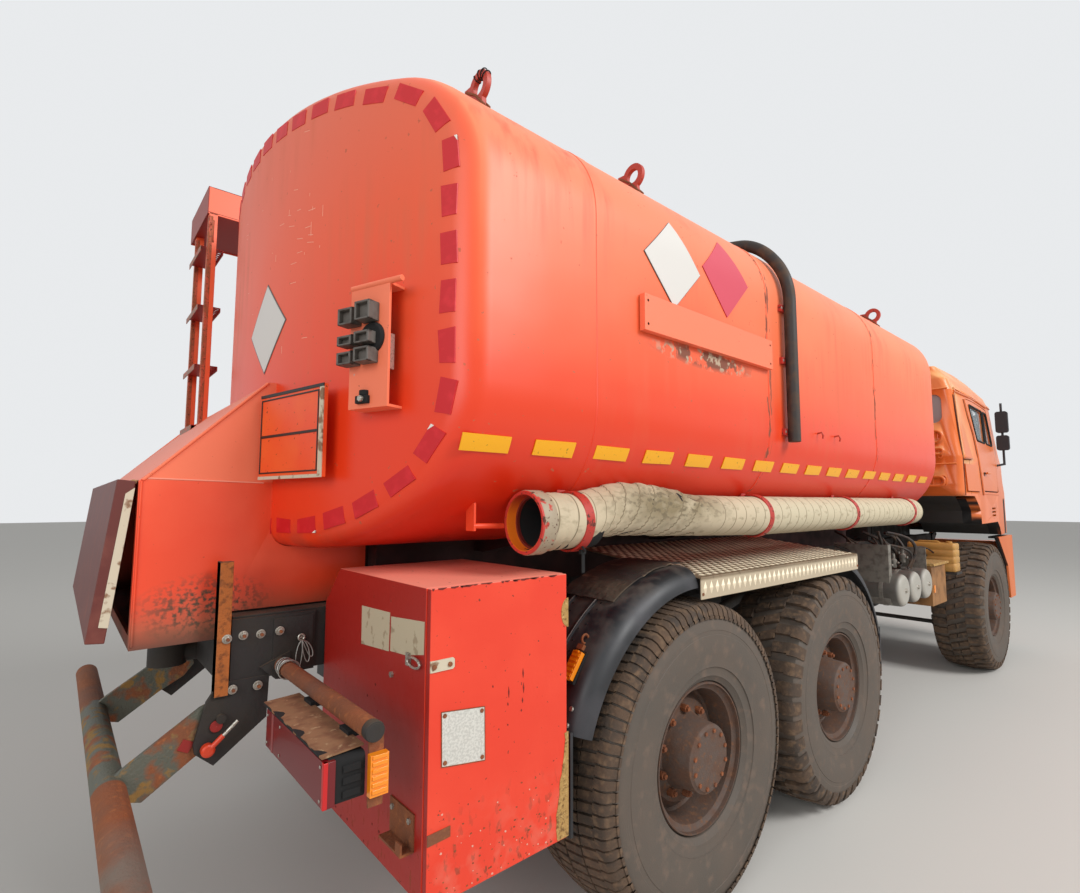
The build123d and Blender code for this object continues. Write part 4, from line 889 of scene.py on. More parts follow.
def sleeve_point(x, angle, inside=0.0):
    """A point of the cloth, and how many turns of the seam lie before it."""
    stations = [row[0] for row in SLEEVE_ROWS]
    top, low = (float(np.interp(x, stations, [row[k] for row in SLEEVE_ROWS])) for k in (1, 2))
    rise_half = (top - low) / 2
    wide_half = min(SLEEVE_R ** 2 / rise_half, 0.112)
    twisted = window(x, -2.88, -2.12, 0.16)
    turns = x / SEAM_PITCH + (1 + 3 * twisted) * angle / (2 * pi)
    share = turns % 1
    near = min(share, 1 - share)
    lift = 0.0014 * sin(pi * min(near * 2.4, 1) / 2) - 0.0012
    lift += twisted * (0.0065 * (0.5 - share) + 0.0045 * field.noise(Vector((x * 11, angle * 1.7, 3))))
    lift += 0.0012 * field.noise(Vector((x * 6, angle, 9)))
    lift += 0.0032 * window(x, -3.02, -2.91, 0.03) * sin(2 * pi * x / 0.034 + sin(angle * 2))
    dent = hypot((x - DENT[0]) / 0.04, (angle - DENT[1]) / 0.34)
    pushed_up = 0.007 * exp(-((dent - 1.6) / 0.5) ** 2) * (x < DENT[0] + 0.01)
    lift += -0.012 * exp(-dent ** 2) + pushed_up
    scale = 1 + (lift - inside) / SLEEVE_R
    here = (x, TUBE_Y + wide_half * scale * cos(angle), (top + low) / 2 + rise_half * scale * sin(angle))
    return here, turns


outer_x = [-3.062 + 0.01 * i for i in range(100)] + list(np.linspace(-2.06, 0.56, 150))
inner_x = list(np.linspace(0.56, -3.062, 40))
sleeve, wind = Shape(), []
for x, inside in [(x, 0.0) for x in outer_x] + [(x, 0.006) for x in inner_x]:
    for k in range(ROUND_STEPS):
        here, turns = sleeve_point(x, 2 * pi * k / ROUND_STEPS, inside)
        sleeve.points.append(here)
        wind.append(turns)
ring_count = len(outer_x) + len(inner_x)
for i in range(ring_count):
    for k in range(ROUND_STEPS):
        a, b, m = i * ROUND_STEPS, (i + 1) % ring_count * ROUND_STEPS, (k + 1) % ROUND_STEPS
        sleeve.faces.append((a + k, a + m, b + m, b + k))
        sleeve.tags.append(0 if i < len(outer_x) else 1)
# The sleeve's inner layer is black: painted shade inside the tube.
cloth = piece("canvas_sleeve", sleeve, [canvas, black_gap], "storage_tube", stands=True, smooth=60,
              heal=False)
cloth.data.attributes.new("wind", "FLOAT", "POINT").data.foreach_set("value", wind)

# %% Painted ring in the mouth, and the tie that hangs under it
# Steel ring with worn grey paint: dull, with red of an older coat and rust in the scratches.
ring_steel = material("worn grey paint on a steel ring", "#A2937C", 0.55,
                      [(0.03, 0.6, 0.66, "#B5382A", 0.6), (0.012, 0.6, 0.64, "#5A3A2C", 0.8)])
# Enamel inside the ring: the brightest orange, because it is out of the sun, with painted shade in red at its
# top.
ring_orange = material("bright orange enamel inside the ring", "#EE7A1C", 0.4,
                       lambda tree: [(rise(tree, 1.6, 1.66), "#A8301C", 0.5)])
# Enamel on the ring's lip: red, chipped wherever the sleeve is pulled over it.
ring_red = material("chipped red enamel edge", "#C23A30", 0.45, [(0.012, 0.58, 0.62, "#5A2E24", 0.8)])
mouth = Shape()
centre = (0, TUBE_Y, TUBE_Z)
mouth.turned([(-3.079, 0.0915), (-3.079, 0.101), (-3.074, 0.1035), (-3.028, 0.1035), (-3.022, 0.1),
              (-3.022, 0.0915)], 0, centre, 72)
mouth.turned([(-3.084, 0.0905), (-3.084, 0.0995), (-3.0785, 0.1018), (-3.0785, 0.0905)], 0, centre, 72, tag=1)
mouth.turned([(-3.082, 0.0885), (-3.082, 0.091), (-3.046, 0.091), (-3.046, 0.086)], 0, centre, 72, tag=2)
mouth.turned([(-3.048, 0.079), (-3.048, 0.0912), (-3.036, 0.0912), (-3.036, 0.079)], 0, centre, 72, tag=3)
mouth.turned([(-3.036, 0.08), (-3.036, 0.0912), (-2.8, 0.0912), (-2.8, 0.08)], 0, centre, 72, tag=4)
# Painted shade deeper in the ring: a dull dark red.
ring_painted_shade = material("dark red painted shade in the ring", "#6A1C12", 0.6)
# The black liner further in is painted shade inside the tube.
piece("tube_mouth_ring", mouth, [ring_steel, ring_red, ring_orange, ring_painted_shade, black_gap], "tube_clamps")
tie = Shape()
tie.pipe([(-2.885, -1.225, 1.497), (-2.88, -1.236, 1.484), (-2.876, -1.222, 1.474), (-2.872, -1.206, 1.48)],
         0.004, 8)
tie.box((-2.884, -2.87), (-1.226, -1.222), (1.408, 1.482))
tie.box((-2.889, -2.866), (-1.228, -1.216), (1.47, 1.484))
piece("tube_tie_strap", tie, black_gap, "tube_clamps", bevel=0.001)
stub = Shape().pipe([(-3.205, -1.06, 1.566), (-3.085, -1.06, 1.564)], 0.009, 16)
stub.box((-3.205, -3.197), (-1.068, -1.02), (1.55, 1.64))
piece("tube_stop_rod", stub, compartment_red, "tube_clamps", bevel=0.0015)

# %% [markdown]
# ## Lifting eyes
# Six flat eyes are welded across the shoulders, so that a sling pulls in their own plane. Each is a cut of
# thick plate, round about its hole, with a foot that follows the shell. We cut the outline in polar form
# about the hole, which gives the same number of points inside and outside and so a clean ring.

# %% Lifting eyes
EYE_X, EYE_HOLE, EYE_R, HOLE_R, EYE_HALF = (-3.155, -2.325, 0.545), (-0.998, 3.106), 0.057, 0.031, 0.01
FOOT_WAY, FOOT_DEPTH = radians(-46), 0.05


def eye_reach(turn):
    """How far the plate goes from the middle of its hole: round, and out to a straight foot."""
    off = cos(turn - FOOT_WAY)
    return max(EYE_R, min(FOOT_DEPTH / off, 0.092)) if off > 0.4 else EYE_R


def lifting_eye(shape, x, side, tag=0):
    count = 40
    turns = circle(count)
    rings = []
    for place, rim in ((x - EYE_HALF, 0), (x - EYE_HALF, 1), (x + EYE_HALF, 1), (x + EYE_HALF, 0)):
        reach = [eye_reach(t) if rim else HOLE_R for t in turns]
        rings.append([(place, side * -(EYE_HOLE[0] + r * cos(t)), EYE_HOLE[1] + r * sin(t))
                      for r, t in zip(reach, turns)])
    start = len(shape.points)
    shape.points += [p for ring in rings for p in ring]
    for i in range(4):
        for k in range(count):
            a, b, m = start + i * count, start + (i + 1) % 4 * count, (k + 1) % count
            shape.faces.append((a + k, a + m, b + m, b + k))
            shape.tags.append(tag)


eyes = Shape()
for x in EYE_X:
    for side in (-1, 1):
        lifting_eye(eyes, x, side)
        for edge in (-1, 1):
            eyes.pipe([(x + edge * 0.011, side * 0.925, 3.122), (x + edge * 0.011, side * 0.985, 3.078),
                       (x + edge * 0.011, side * 1.042, 3.012)], 0.005, 8, tag=1)
piece("lifting_eyes", eyes, [eye_maroon, rusty_steel], "tank_fittings", bevel=0.002)

binding = Shape()
for i in range(4):
    turn = 0.5 + 0.5 * i
    middle = Vector((EYE_X[0], EYE_HOLE[0] - cos(turn) * 0.044, EYE_HOLE[1] + sin(turn) * 0.044))
    radial = Vector((0, -cos(turn), sin(turn)))
    binding.pipe([middle + radial * cos(a) * 0.018 + Vector((1, 0, 0)) * sin(a) * 0.014
                  for a in circle(16, True)], 0.0022, 6)
piece("wire_on_eye", binding, black_gap, "tank_fittings")
print("eyes:", 2 * len(EYE_X))

# %% [markdown]
# ## Plate, board and bracket on the tank
# The framed plate keeps its black border and divider and its worn white edges, and is blank. The bracket on
# the head is a lipped channel, and behind it sits a block of plastic clips that holds nothing any more.

# %% Frame of the orange plate
plate_at = Matrix.Translation((-3.616, -0.58, 1.87)) @ Matrix.Rotation(radians(12), 4, "Z")
trim = Shape()
FACE = (-0.0105, -0.006)
for u, v in (((-0.174, 0.194), (-0.13, -0.125)), ((-0.174, 0.194), (0.127, 0.132)),
             ((-0.174, -0.169), (-0.13, 0.132)), ((0.189, 0.194), (-0.13, 0.132)),
             ((-0.174, 0.194), (-0.0045, 0.0045)), ((-0.2, 0.2), (0.139, 0.1502))):
    trim.box(FACE, u, v, 0, plate_at)
for u, v in (((-0.2002, -0.179), (-0.15, 0.139)), ((-0.179, 0.2002), (-0.1502, -0.139))):
    trim.box(FACE, u, v, 1, plate_at)
# Printing ink on the plate: black with a soft shine.
black_print = material("black printed line", "#1A1614", 0.5)
piece("plate_frame", trim, [black_print, door_edge], "rear_plate", bevel=0.0008)

# %% Clip block behind the bracket
block_at = Matrix(((0.345, -0.938, 0, -3.466), (-0.938, -0.345, 0, -0.95), (0, 0, 1, 0), (0, 0, 0, 1)))
block = Shape().box((-0.08, 0.035), (0.05, 0.06), (2.03, 2.24), 0, block_at)
for ends, rows in (((-0.091, -0.032), ((2.172, 2.223), (2.108, 2.138), (2.05, 2.088))),
                   ((-0.021, 0.04), ((2.178, 2.235), (2.108, 2.144), (2.052, 2.096)))):
    for low_z, high_z in rows:
        block.box(ends, (0.06, 0.086), (low_z, high_z), 1, block_at)
        for a0, a1, z0, z1 in ((ends[0], ends[0] + 0.008, low_z, high_z),
                               (ends[1] - 0.008, ends[1], low_z, high_z), (*ends, high_z - 0.007, high_z),
                               (*ends, low_z, low_z + 0.006)):
            block.box((a0, a1), (0.084, 0.102), (z0, z1), 1, block_at)
        block.bolt(block_at @ Vector((sum(ends) / 2, 0.07, high_z)), (0, 0, 1), 0.006, 0.012, 0, 8)
block.turned([(0.046, 0.048), (0.066, 0.048), (0.072, 0.042), (0.072, 0.0), (0.046, 0.0)], 1,
             (0.016, 0, 2.13), 32, 0, block_at)
block.box((0.058, 0.066), (0.02, 0.056), (2.036, 2.145), 2, block_at)
block.box((-0.04, 0.01), (0.03, 0.072), (1.934, 1.958), 0, block_at)
block.bolt(block_at @ Vector((-0.012, 0.06, 1.958)), (0, 0, 1), 0.016, 0.016, 0, 16)
block.bolt(block_at @ Vector((-0.012, 0.07, 1.947)), block_at.to_3x3() @ Vector((0, 1, 0)), 0.01, 0.012, 2)
block.bolt((-3.535, -0.909, 2.026), (-1, 0, 0), 0.01, 0.008, 2)
piece("clip_block", block, [black_gap, lug_plastic, bolt_steel], "tank_fittings", bevel=0.0025)

# %% Board edges, hooks and hose clips on the flank
small = Shape()
for x in (-1.113, -0.891):
    top = Vector((x, -1.248, 2.014))
    small.pipe([top, top + Vector((0, -0.022, 0.004)), top + Vector((0, -0.03, -0.014)),
                top + Vector((0, -0.026, -0.03))], 0.005, 8, tag=0)
for z in (2.62, 2.35, 1.99):
    small.box((-1.516, -1.414), (-1.264, -1.246), (z - 0.017, z + 0.017), 1)
    for x in (-1.507, -1.423):
        small.bolt((x, -1.258, z), (0, -1, 0), 0.007, 0.008, 2)
for x in (-2.592, -1.648):
    for z in (2.305, 2.395):
        small.bolt((x + (0.012 if x < -2 else -0.012), -1.272, z), (0, -1, 0), 0.007, 0.003, 2)
piece("flank_fittings", small, [eye_maroon, strap_red, bolt_steel], "tank_fittings", bevel=0.001)

# %% [markdown]
# ## Ladder and its platform
# Two square tubes carry four treads of folded sheet. Each tread has a worn lip at the rear and a row of
# drainage holes ahead of it, and daylight shows through them. The platform over the pump compartment is a
# shallow tray.

# %% Ladder with holed treads
RAIL_Y, LADDER_X, TREAD_Z = (0.8, 1.17), (-3.675, -3.635), (2.03, 2.35, 2.67, 2.99)
ladder = Shape()
for y in RAIL_Y:
    ladder.box(LADDER_X, (y - 0.02, y + 0.02), (1.99, 3.178))
    ladder.box((-3.6756, -3.656), (y - 0.0206, y + 0.008), (2.0, 3.16), 1)
inner_y = (RAIL_Y[0] + 0.02, RAIL_Y[1] - 0.02)
for z in TREAD_Z:
    ladder.box((-3.698, -3.612), inner_y, (z + 0.008, z + 0.012), 2)
    ladder.box((-3.702, -3.698), inner_y, (z - 0.018, z + 0.012), 3)
    ladder.box((-3.6, -3.594), inner_y, (z - 0.014, z + 0.012), 2)
    y = inner_y[0]
    while y < inner_y[1]:
        ladder.box((-3.613, -3.599), (y, min(y + 0.016, inner_y[1])), (z + 0.008, z + 0.012), 2)
        y += 0.028
TRAY_X, TRAY_Y = (-3.68, -3.06), (0.78, 1.28)
ladder.box(TRAY_X, TRAY_Y, (3.176, 3.182), 2)
for x0, x1, y0, y1, tag in ((-3.684, -3.679, *TRAY_Y, 4), (-3.065, -3.06, *TRAY_Y, 4),
                            (*TRAY_X, 0.78, 0.785, 0), (*TRAY_X, 1.275, 1.28, 0)):
    ladder.box((x0, x1), (y0, y1), (3.17, 3.32), tag)
ladder.box((-3.684, -3.666), TRAY_Y, (3.314, 3.32), 5)
for y0, y1 in ((0.78, 0.796), (1.264, 1.28)):
    ladder.box((-3.666, -3.06), (y0, y1), (3.314, 3.32), 5)
for x in (-3.3, -3.1):
    ladder.box((x - 0.015, x + 0.015), (1.06, 1.09), (2.96, 3.178))
ladder.pipe([(-3.66, 0.745, 3.12), (-3.665, 0.72, 3.1), (-3.665, 0.722, 3.02), (-3.66, 0.738, 3.0)], 0.006, 8,
            1)
ladder.pipe([(-3.66, 0.745, 3.12), (-3.655, 0.785, 3.12)], 0.006, 8, 1)
# Enamel on the rails: sun-faded orange-red with a few rust chips.
rail_orange = material("sun-faded orange-red rail enamel", "#F0663C", 0.42,
                       [(0.3, 0.45, 0.7, "#E8704C", 0.5), (0.012, 0.7, 0.72, "#7A3A26", 0.8)])
# Water runs down one side of a rail and leaves an upright streak of rust.
rail_rust = material("rust streak down a rail", "#9A5636", 0.8,
                     [(0.02, 0.45, 0.6, (1, 1, 0.3), "#C0583C", 0.6), (0.01, 0.55, 0.65, "#5E3826", 0.9)])
# Enamel that the treads shade: a deeper red than the rails.
tread_shade = material("dark red enamel in the shade", "#9C241A", 0.5)
# A lip that boots have worn: grey-brown metal with rests of red.
lip_worn = material("worn grey-brown tread edge", "#8C6A58", 0.55, [(0.02, 0.5, 0.6, "#C25A48", 0.6)])
# The tray's end walls are painted maroon: painted shade.
tray_painted_shade = material("maroon painted shade on the tray's sheet", "#8E3024", 0.5)
# Its rim is painted crimson, and glossier: a painted highlight along the top edge.
tray_rim_highlight = material("crimson painted highlight on the rim", "#D62A2C", 0.4)
piece("ladder_and_tray", ladder, [rail_orange, rail_rust, tread_shade, lip_worn, tray_painted_shade, tray_rim_highlight],
      "ladder", stands=True, bevel=0.0018)

# %% [markdown]
# ## Tool box
# The side door is closed by a riveted hasp and has been patched with a galvanised sheet. Its front edge has
# broken open, and the board inside shows. On the rear face two blank paper labels are left, with a ring
# latch and a hook of rusty angle. All of it is thin sheet that stands a few millimetres off the enamel.

# %% Hasp, patch, broken edge and scratches on the door
DOOR_FACE = -1.2155
marks = Shape()


def sheet(shape, outline, depth, tag=0):
    """A flat piece on the door's outer face, from its X and Z outline."""
    shape.plate(outline, 1, (DOOR_FACE - depth, DOOR_FACE + 0.002), tag)


def ragged(start, end, count, reach):
    """Points of a torn edge between two places."""
    a, b = Vector(start), Vector(end)
    side = Vector((-(b - a).y, (b - a).x)).normalized()
    return [tuple(a.lerp(b, i / count) + side * dice.uniform(-reach, reach)) for i in range(count + 1)]


sheet(marks, [(-3.434, 1.192), (-3.366, 1.192), (-3.361, 1.197), (-3.361, 1.217), (-3.366, 1.222),
              (-3.434, 1.222)], 0.0035, 0)
for x, z in ((-3.424, 1.206), (-3.376, 1.206)):
    marks.bolt((x, DOOR_FACE, z), (0, -1, 0), 0.0065, 0.007, 1, 12)
patch = [(-3.398, 1.084), (-3.26, 1.068), (-3.257, 0.922), (-3.395, 0.943)]
sheet(marks, patch, 0.0012, 2)
middle = (sum(x for x, _ in patch) / 4, sum(z for _, z in patch) / 4)
for x, z in patch:
    near = [x + (middle[0] - x) * 0.14, z + (middle[1] - z) * 0.14]
    marks.bolt((near[0], DOOR_FACE, near[1]), (0, -1, 0), 0.006, 0.003, 1, 10)
for k in range(4):
    (a, b), (c, d) = patch[k], patch[(k + 1) % 4]
    marks.pipe([(a, DOOR_FACE - 0.001, b), (c, DOOR_FACE - 0.001, d)], 0.0013, 6, 1)
sheet(marks, [(-2.938, 0.918)] + ragged((-2.952, 0.915), (-2.99, 0.64), 14, 0.005)
      + [(-2.985, 0.604), (-2.938, 0.604)], 0.0012, 3)
sheet(marks, [(-2.937 - 0.03 * sin(t), 1.288 + 0.046 * cos(t)) for t in [pi * i / 14 for i in range(15)]],
      0.001, 3)
for x, z0, z1 in ((-3.175, 1.104, 1.072), (-3.178, 1.06, 1.05), (-3.122, 1.146, 1.118), (-3.12, 1.104, 1.074),
                  (-3.124, 1.062, 1.046), (-3.178, 1.0, 0.994), (-3.128, 1.03, 1.022), (-3.232, 1.12, 1.112)):
    marks.plate([(x, z0), (x + 0.0032, (z0 + z1) / 2), (x + 0.001, z1), (x - 0.0018, (z0 + z1) / 2)], 1,
                (DOOR_FACE - 0.0005, DOOR_FACE + 0.002), 4)
chips = [(dice.uniform(0, 0.93), dice.uniform(0.006, 0.03), dice.uniform(0.001, 0.005)) for _ in range(52)]
for start, run, drop in chips[26:]:
    x = -3.434 + start * 0.49
    sheet(marks, [(x, 1.41), (x, 1.4085 - drop * 0.6), (x + run / 2, 1.4085 - drop), (x + run, 1.41)], 0.0006,
          4)
for k in range(90):
    x, z = dice.uniform(-3.41, -3.0), 0.61 + 0.22 * dice.random() ** 1.8
    size = dice.uniform(0.0015, 0.005)
    turns = circle(7)
    sheet(marks, [(x + size * dice.uniform(0.5, 1) * cos(t), z + 0.7 * size * dice.uniform(0.5, 1) * sin(t))
                  for t in turns], 0.0006, 1 if k % 3 else 5)
sheet(marks, [(-3.434, 0.757), (-3.366, 0.76), (-3.366, 0.787), (-3.434, 0.785)], 0.002, 1)
# A scratch through to the primer, dark with dirt: no gloss at all.
scratch = material("dark scratch in enamel", "#6A1E16", 0.8)
# Primer under a fresh scuff: pale pink-brown and chalky.
bare_primer = material("pale primer under a scuff", "#D8A08C", 0.7)
piece("box_door_details", marks, [door_edge, rusty_steel, galvanised, board_wood, scratch, bare_primer],
      "tool_box_door")

# %% Labels, latch and hook on the rear face
back_face = -3.4352
rear_marks = Shape()
for outline in ([(-0.771, 1.308), (-0.975, 1.315), (-0.972, 1.202), (-0.774, 1.188)],
                [(-0.984, 1.305), (-1.184, 1.32), (-1.183, 1.233), (-1.08, 1.212), (-0.982, 1.205)]):
    rear_marks.plate(outline, 0, (back_face - 0.0009, back_face + 0.001), 0)
latch = [(back_face - 0.01, -1.1435 + 0.034 * cos(t), 1.206 + 0.013 * sin(t)) for t in circle(20, True)]
rear_marks.pipe(latch, 0.0035, 8, 1)
rear_marks.box((back_face - 0.008, back_face + 0.001), (-1.11, -1.092), (1.19, 1.224), 1)
rear_marks.bolt((back_face, -0.998, 1.142), (-1, 0, 0), 0.009, 0.007, 1)
rear_marks.box((back_face - 0.004, back_face + 0.001), (-1.15, -1.011), (0.72, 0.812), 2)
rear_marks.box((back_face - 0.04, back_face), (-1.15, -1.02), (0.716, 0.722), 2)
rear_marks.box((back_face - 0.04, back_face - 0.035), (-1.15, -1.12), (0.722, 0.748), 2)
for y, z in ((-1.03, 0.79), (-1.13, 0.79)):
    rear_marks.bolt((back_face - 0.004, y, z), (-1, 0, 0), 0.008, 0.006, 1)
for k in range(18):
    y, z = dice.uniform(-1.17, -0.46), 0.61 + 0.5 * dice.random() ** 2.2
    size = dice.uniform(0.002, 0.006)
    turns = circle(7)
    rear_marks.plate([(y + size * dice.uniform(0.5, 1) * cos(t), z + size * dice.uniform(0.5, 1) * sin(t))
                      for t in turns], 0, (back_face - 0.0005, back_face + 0.001), 3)
piece("box_rear_details", rear_marks, [paper, bolt_steel, rusty_steel, scratch], "tool_box")

# %% [markdown]
# ## Tyres
# Off-road tyres, 425 mm wide. The rear-most pair is worn and has close lateral blocks, the others deep
# slanted lugs. The wall is a turned profile with the rings that a mould leaves, and each block is its own
# small solid that follows the crown, because their dark gaps are what makes a tread read from across a
# yard.

# %% Tyre profile and tread blocks
WHEEL_R, WHEEL_Z, TRACK_HALF = 0.62, 0.62, 1.025
AXLE_X = {"front": 2.825, "middle": -0.865, "rear": -2.185}
RIM_R, BEAD_R = 0.287, 0.264
GROOVE = {"rear": 0.012, "middle": 0.02, "front": 0.02}


def crown_r(y):
    """The tread's radius at this distance from its middle."""
    return WHEEL_R - 0.02 * (abs(y) / 0.185) ** 2


def tyre_profile(groove):
    """Half of the closed section as (place, radius), from the bead out over the wall to the crown."""
    rows = [(-0.148, BEAD_R), (-0.156, RIM_R + 0.003), (-0.176, RIM_R + 0.006), (-0.187, 0.31),
            (-0.192, 0.315), (-0.193, 0.33), (-0.199, 0.35), (-0.204, 0.352), (-0.205, 0.372), (-0.21, 0.4),
            (-0.2135, 0.44), (-0.2125, 0.48), (-0.2105, 0.482), (-0.21, 0.498), (-0.2115, 0.5),
            (-0.2095, 0.52), (-0.206, 0.54), (-0.199, 0.565), (-0.19, 0.588 - groove / 2),
            (-0.18, crown_r(0.18) - groove)]
    rows += [(y, crown_r(y) - groove) for y in (-0.15, -0.11, -0.06, 0.0)]
    return rows + [(-y, r) for y, r in rows[-2::-1]]


def tread_block(shape, turn, y, span, slant, depth, tag=1):
    """One block of the tread: from y[0] to y[1], span radians wide and slanted from end to end."""
    points = []
    for radius_shift in (-depth - 0.004, 0.0):
        shrink = 0.9 if radius_shift == 0.0 else 1.0
        for end in (0, 1):
            for side in (-1, 1):
                angle = turn + slant * (end - 0.5) + side * span / 2 * shrink
                r = crown_r(y[end]) + radius_shift
                points.append((cos(angle) * r, y[end] + (0.5 - end) * 0.004 * (shrink < 1), sin(angle) * r))
    faces = [(0, 2, 3, 1), (4, 5, 7, 6), (0, 1, 5, 4), (2, 6, 7, 3), (0, 4, 6, 2), (1, 3, 7, 5)]
    shape.add(points, faces, tag)


def shoulder_lug(shape, turn, side, span, reach, tag=1):
    """A lug that wraps from the crown down the shoulder of the wall."""
    section = [(0.15, crown_r(0.15)), (0.182, crown_r(0.182) + 0.001), (0.199, 0.586), (0.2125, 0.545),
               (0.2125, reach), (0.196, reach - 0.004), (0.18, 0.56), (0.15, 0.585)]
    points = []
    for edge in (-1, 1):
        for y, r in section:
            angle = turn + edge * span / 2
            points.append((cos(angle) * r, side * y, sin(angle) * r))
    shape.prism(points, tag)


def worn_tread(shape):
    """Close lateral blocks in four rows, with wavy grooves between the rows."""
    count, groove = 96, GROOVE["rear"]
    for i in range(count):
        turn = 2 * pi * i / count
        wide = 2 * pi / count * 0.8
        for side in (-1, 1):
            shoulder_lug(shape, turn, side, wide, 0.556)
            for y0, y1, lag in ((0.088, 0.148, 0.3), (0.006, 0.078, 0.7)):
                tread_block(shape, turn + lag * wide, (side * y0, side * y1), wide, side * 0.25 * wide,
                            groove)


def lug_tread(shape):
    """Deep slanted lugs in four rows, the shoulder ones wrapped down the wall."""
    count, groove = 40, GROOVE["middle"]
    for i in range(count):
        turn = 2 * pi * i / count
        wide = 2 * pi / count * 0.66
        for side in (-1, 1):
            shift = 0.25 * wide if side > 0 else -0.25 * wide
            shoulder_lug(shape, turn + shift, side, wide, 0.53)
            tread_block(shape, turn + shift, (side * 0.078, side * 0.152), wide * 0.92, side * 0.1 * wide,
                        groove)
            tread_block(shape, turn + shift + 0.75 * wide, (side * 0.004, side * 0.072), wide * 0.8,
                        side * 0.45 * wide, groove)


def tyre_shape(axle):
    shape = Shape()
    profile = tyre_profile(GROOVE[axle])
    shape.turned(profile, 1, (0, 0, 0), 128)
    if axle == "rear":
        worn_tread(shape)
    else:
        lug_tread(shape)
    return shape


def at_wheel(shape, axle, side):
    """The right-hand shape at the origin, moved to its axle and turned for its side."""
    turn = Matrix.Rotation(0 if side < 0 else pi, 4, "Z")
    move = Matrix.Translation((AXLE_X[axle], side * TRACK_HALF, WHEEL_Z)) @ turn
    moved = Shape()
    moved.points = [tuple(move @ Vector(p)) for p in shape.points]
    moved.faces, moved.tags = shape.faces, shape.tags
    return moved


WHEELS = [(axle, side, "right" if side < 0 else "left") for axle in AXLE_X for side in (-1, 1)]
tyre_forms = {axle: tyre_shape(axle) for axle in AXLE_X}
for axle, side, word in WHEELS:
    piece(f"tyre_rubber_{axle}_{word}", at_wheel(tyre_forms[axle], axle, side), [wall_rubber, tread_rubber],
          f"tyre_{axle}_{word}", stands=True)

# %% [markdown]
# ## Wheels
# The rim, its deep disc and the hub that stands out of it are one turned profile, smooth enough for a close
# look. Ten nuts hold the disc and twelve small bolts the cap, and both are worn brown with road dust.

# %% Wheel discs, hubs and bolts
WHEEL_PROFILE = [(-0.171, 0.287), (-0.176, 0.284), (-0.176, 0.279), (-0.16, 0.277), (-0.154, 0.268),
                 (-0.15, 0.256), (-0.12, 0.252), (-0.05, 0.246), (-0.04, 0.236), (-0.06, 0.214),
                 (-0.078, 0.2), (-0.08, 0.172), (-0.088, 0.15), (-0.11, 0.139), (-0.196, 0.133),
                 (-0.203, 0.13), (-0.205, 0.124), (-0.211, 0.118), (-0.211, 0.0)]
NUTS, NUT_R, CAP_BOLTS, CAP_BOLT_R = 10, 0.168, 12, 0.108
wheel = Shape()
back = [(0.14, 0.0), (0.14, 0.06), (0.13, 0.062), (0.13, 0.195), (-0.04, 0.195), (-0.02, 0.236),
        (0.14, 0.252), (0.158, 0.284), (0.15, 0.2625), (-0.146, 0.2625), (-0.158, 0.2868)]
wheel.turned(WHEEL_PROFILE + back, 1, (0, 0, 0), 96)
for count, ring, place, size, height in ((NUTS, NUT_R, -0.08, 0.0165, 0.026),
                                         (NUTS, NUT_R, -0.104, 0.01, 0.012),
                                         (CAP_BOLTS, CAP_BOLT_R, -0.21, 0.0085, 0.007)):
    for i in range(count):
        angle = 2 * pi * (i + 0.5) / count
        wheel.bolt((cos(angle) * ring, place, sin(angle) * ring), (0, -1, 0), size, height, tag=1)
for axle, side, word in WHEELS:
    piece(f"wheel_steel_{axle}_{word}", at_wheel(wheel, axle, side), [wheel_brown, rusty_steel],
          f"wheel_{axle}_{word}", stands=True)

# %% [markdown]
# ## Pieces whose packed shape is right
# Frame, brackets, boxes and cab panels keep their packed form. Each is copied, its facets joined and its
# edges rounded by a few millimetres, and it gets the finish of its own metal.

# %% Finishes for the packed shapes
# The cab's floor takes the black chassis paint, which also stands as painted shade under the cab.
DRESSED = {chassis_black: ("frame_rails", "crossmembers", "suspension", "fuel_tank", "rear_brackets",
                           "cab_floor"),
           casting_dark: ("rear_axles", "front_axle", "knuckle_right", "knuckle_left", "tie_rod",
                          "powertrain", "pump_unit"), frame_grey: ("air_tanks",), unit_tan: ("side_units",),
           saddle_painted_shade: ("tank_saddles",), bar_steel: ("underrun_bar",),
           compartment_red: ("pump_compartment", "tank_fittings"), strap_red: ("tube_clamps",),
           tank_enamel: ("manhole_collar", "manhole_lid"), box_red: ("tool_box", "tool_box_door"),
           cab_orange: ("cab_roof", "cab_front", "cab_sides", "door_right", "door_left", "front_bumper"),
           seat_cloth: ("cab_seats",), dash_vinyl: ("dashboard", "mirrors"), sign_orange: ("rear_plate",),
           black_gap: ("rear_lamps",), guard_plastic: ("mudguards",), checker: ("deck_plates",),
           hose_rubber: ("breather_hose",), door_painted_shade: ("compartment_door",)}
# Eyes and side markers are built anew, so the copies lose theirs. The bracket's foot reaches lower.
EYES_FROM, LAMP_HALF = 2.9, 1.2055
BRACKET_BEHIND, BRACKET_UNDER, BRACKET_LONGER = -3.4, 2.03, 0.083
packed = {}
for finish, nodes in DRESSED.items():
    for node in nodes:
        packed[node] = dressed(node, finish)
packed["cab_rear_wall"] = dressed("cab_rear_wall", cab_orange, bevel=0, join=False)
with editing(packed["tank_fittings"].data) as copy:
    bmesh.ops.delete(copy, geom=[v for v in copy.verts if v.co.z > EYES_FROM], context="VERTS")
    for point in copy.verts:
        if point.co.x < BRACKET_BEHIND and point.co.z < BRACKET_UNDER:
            point.co.z -= BRACKET_LONGER
with editing(packed["rear_lamps"].data) as copy:
    bmesh.ops.delete(copy, geom=[v for v in copy.verts if abs(v.co.y) > LAMP_HALF], context="VERTS")
for node in ("cab_glass", "door_glass_right", "door_glass_left"):
    frame["nodes"][node].data.materials.clear()
    frame["nodes"][node].data.materials.append(glass)
print("dressed nodes:", len(packed))

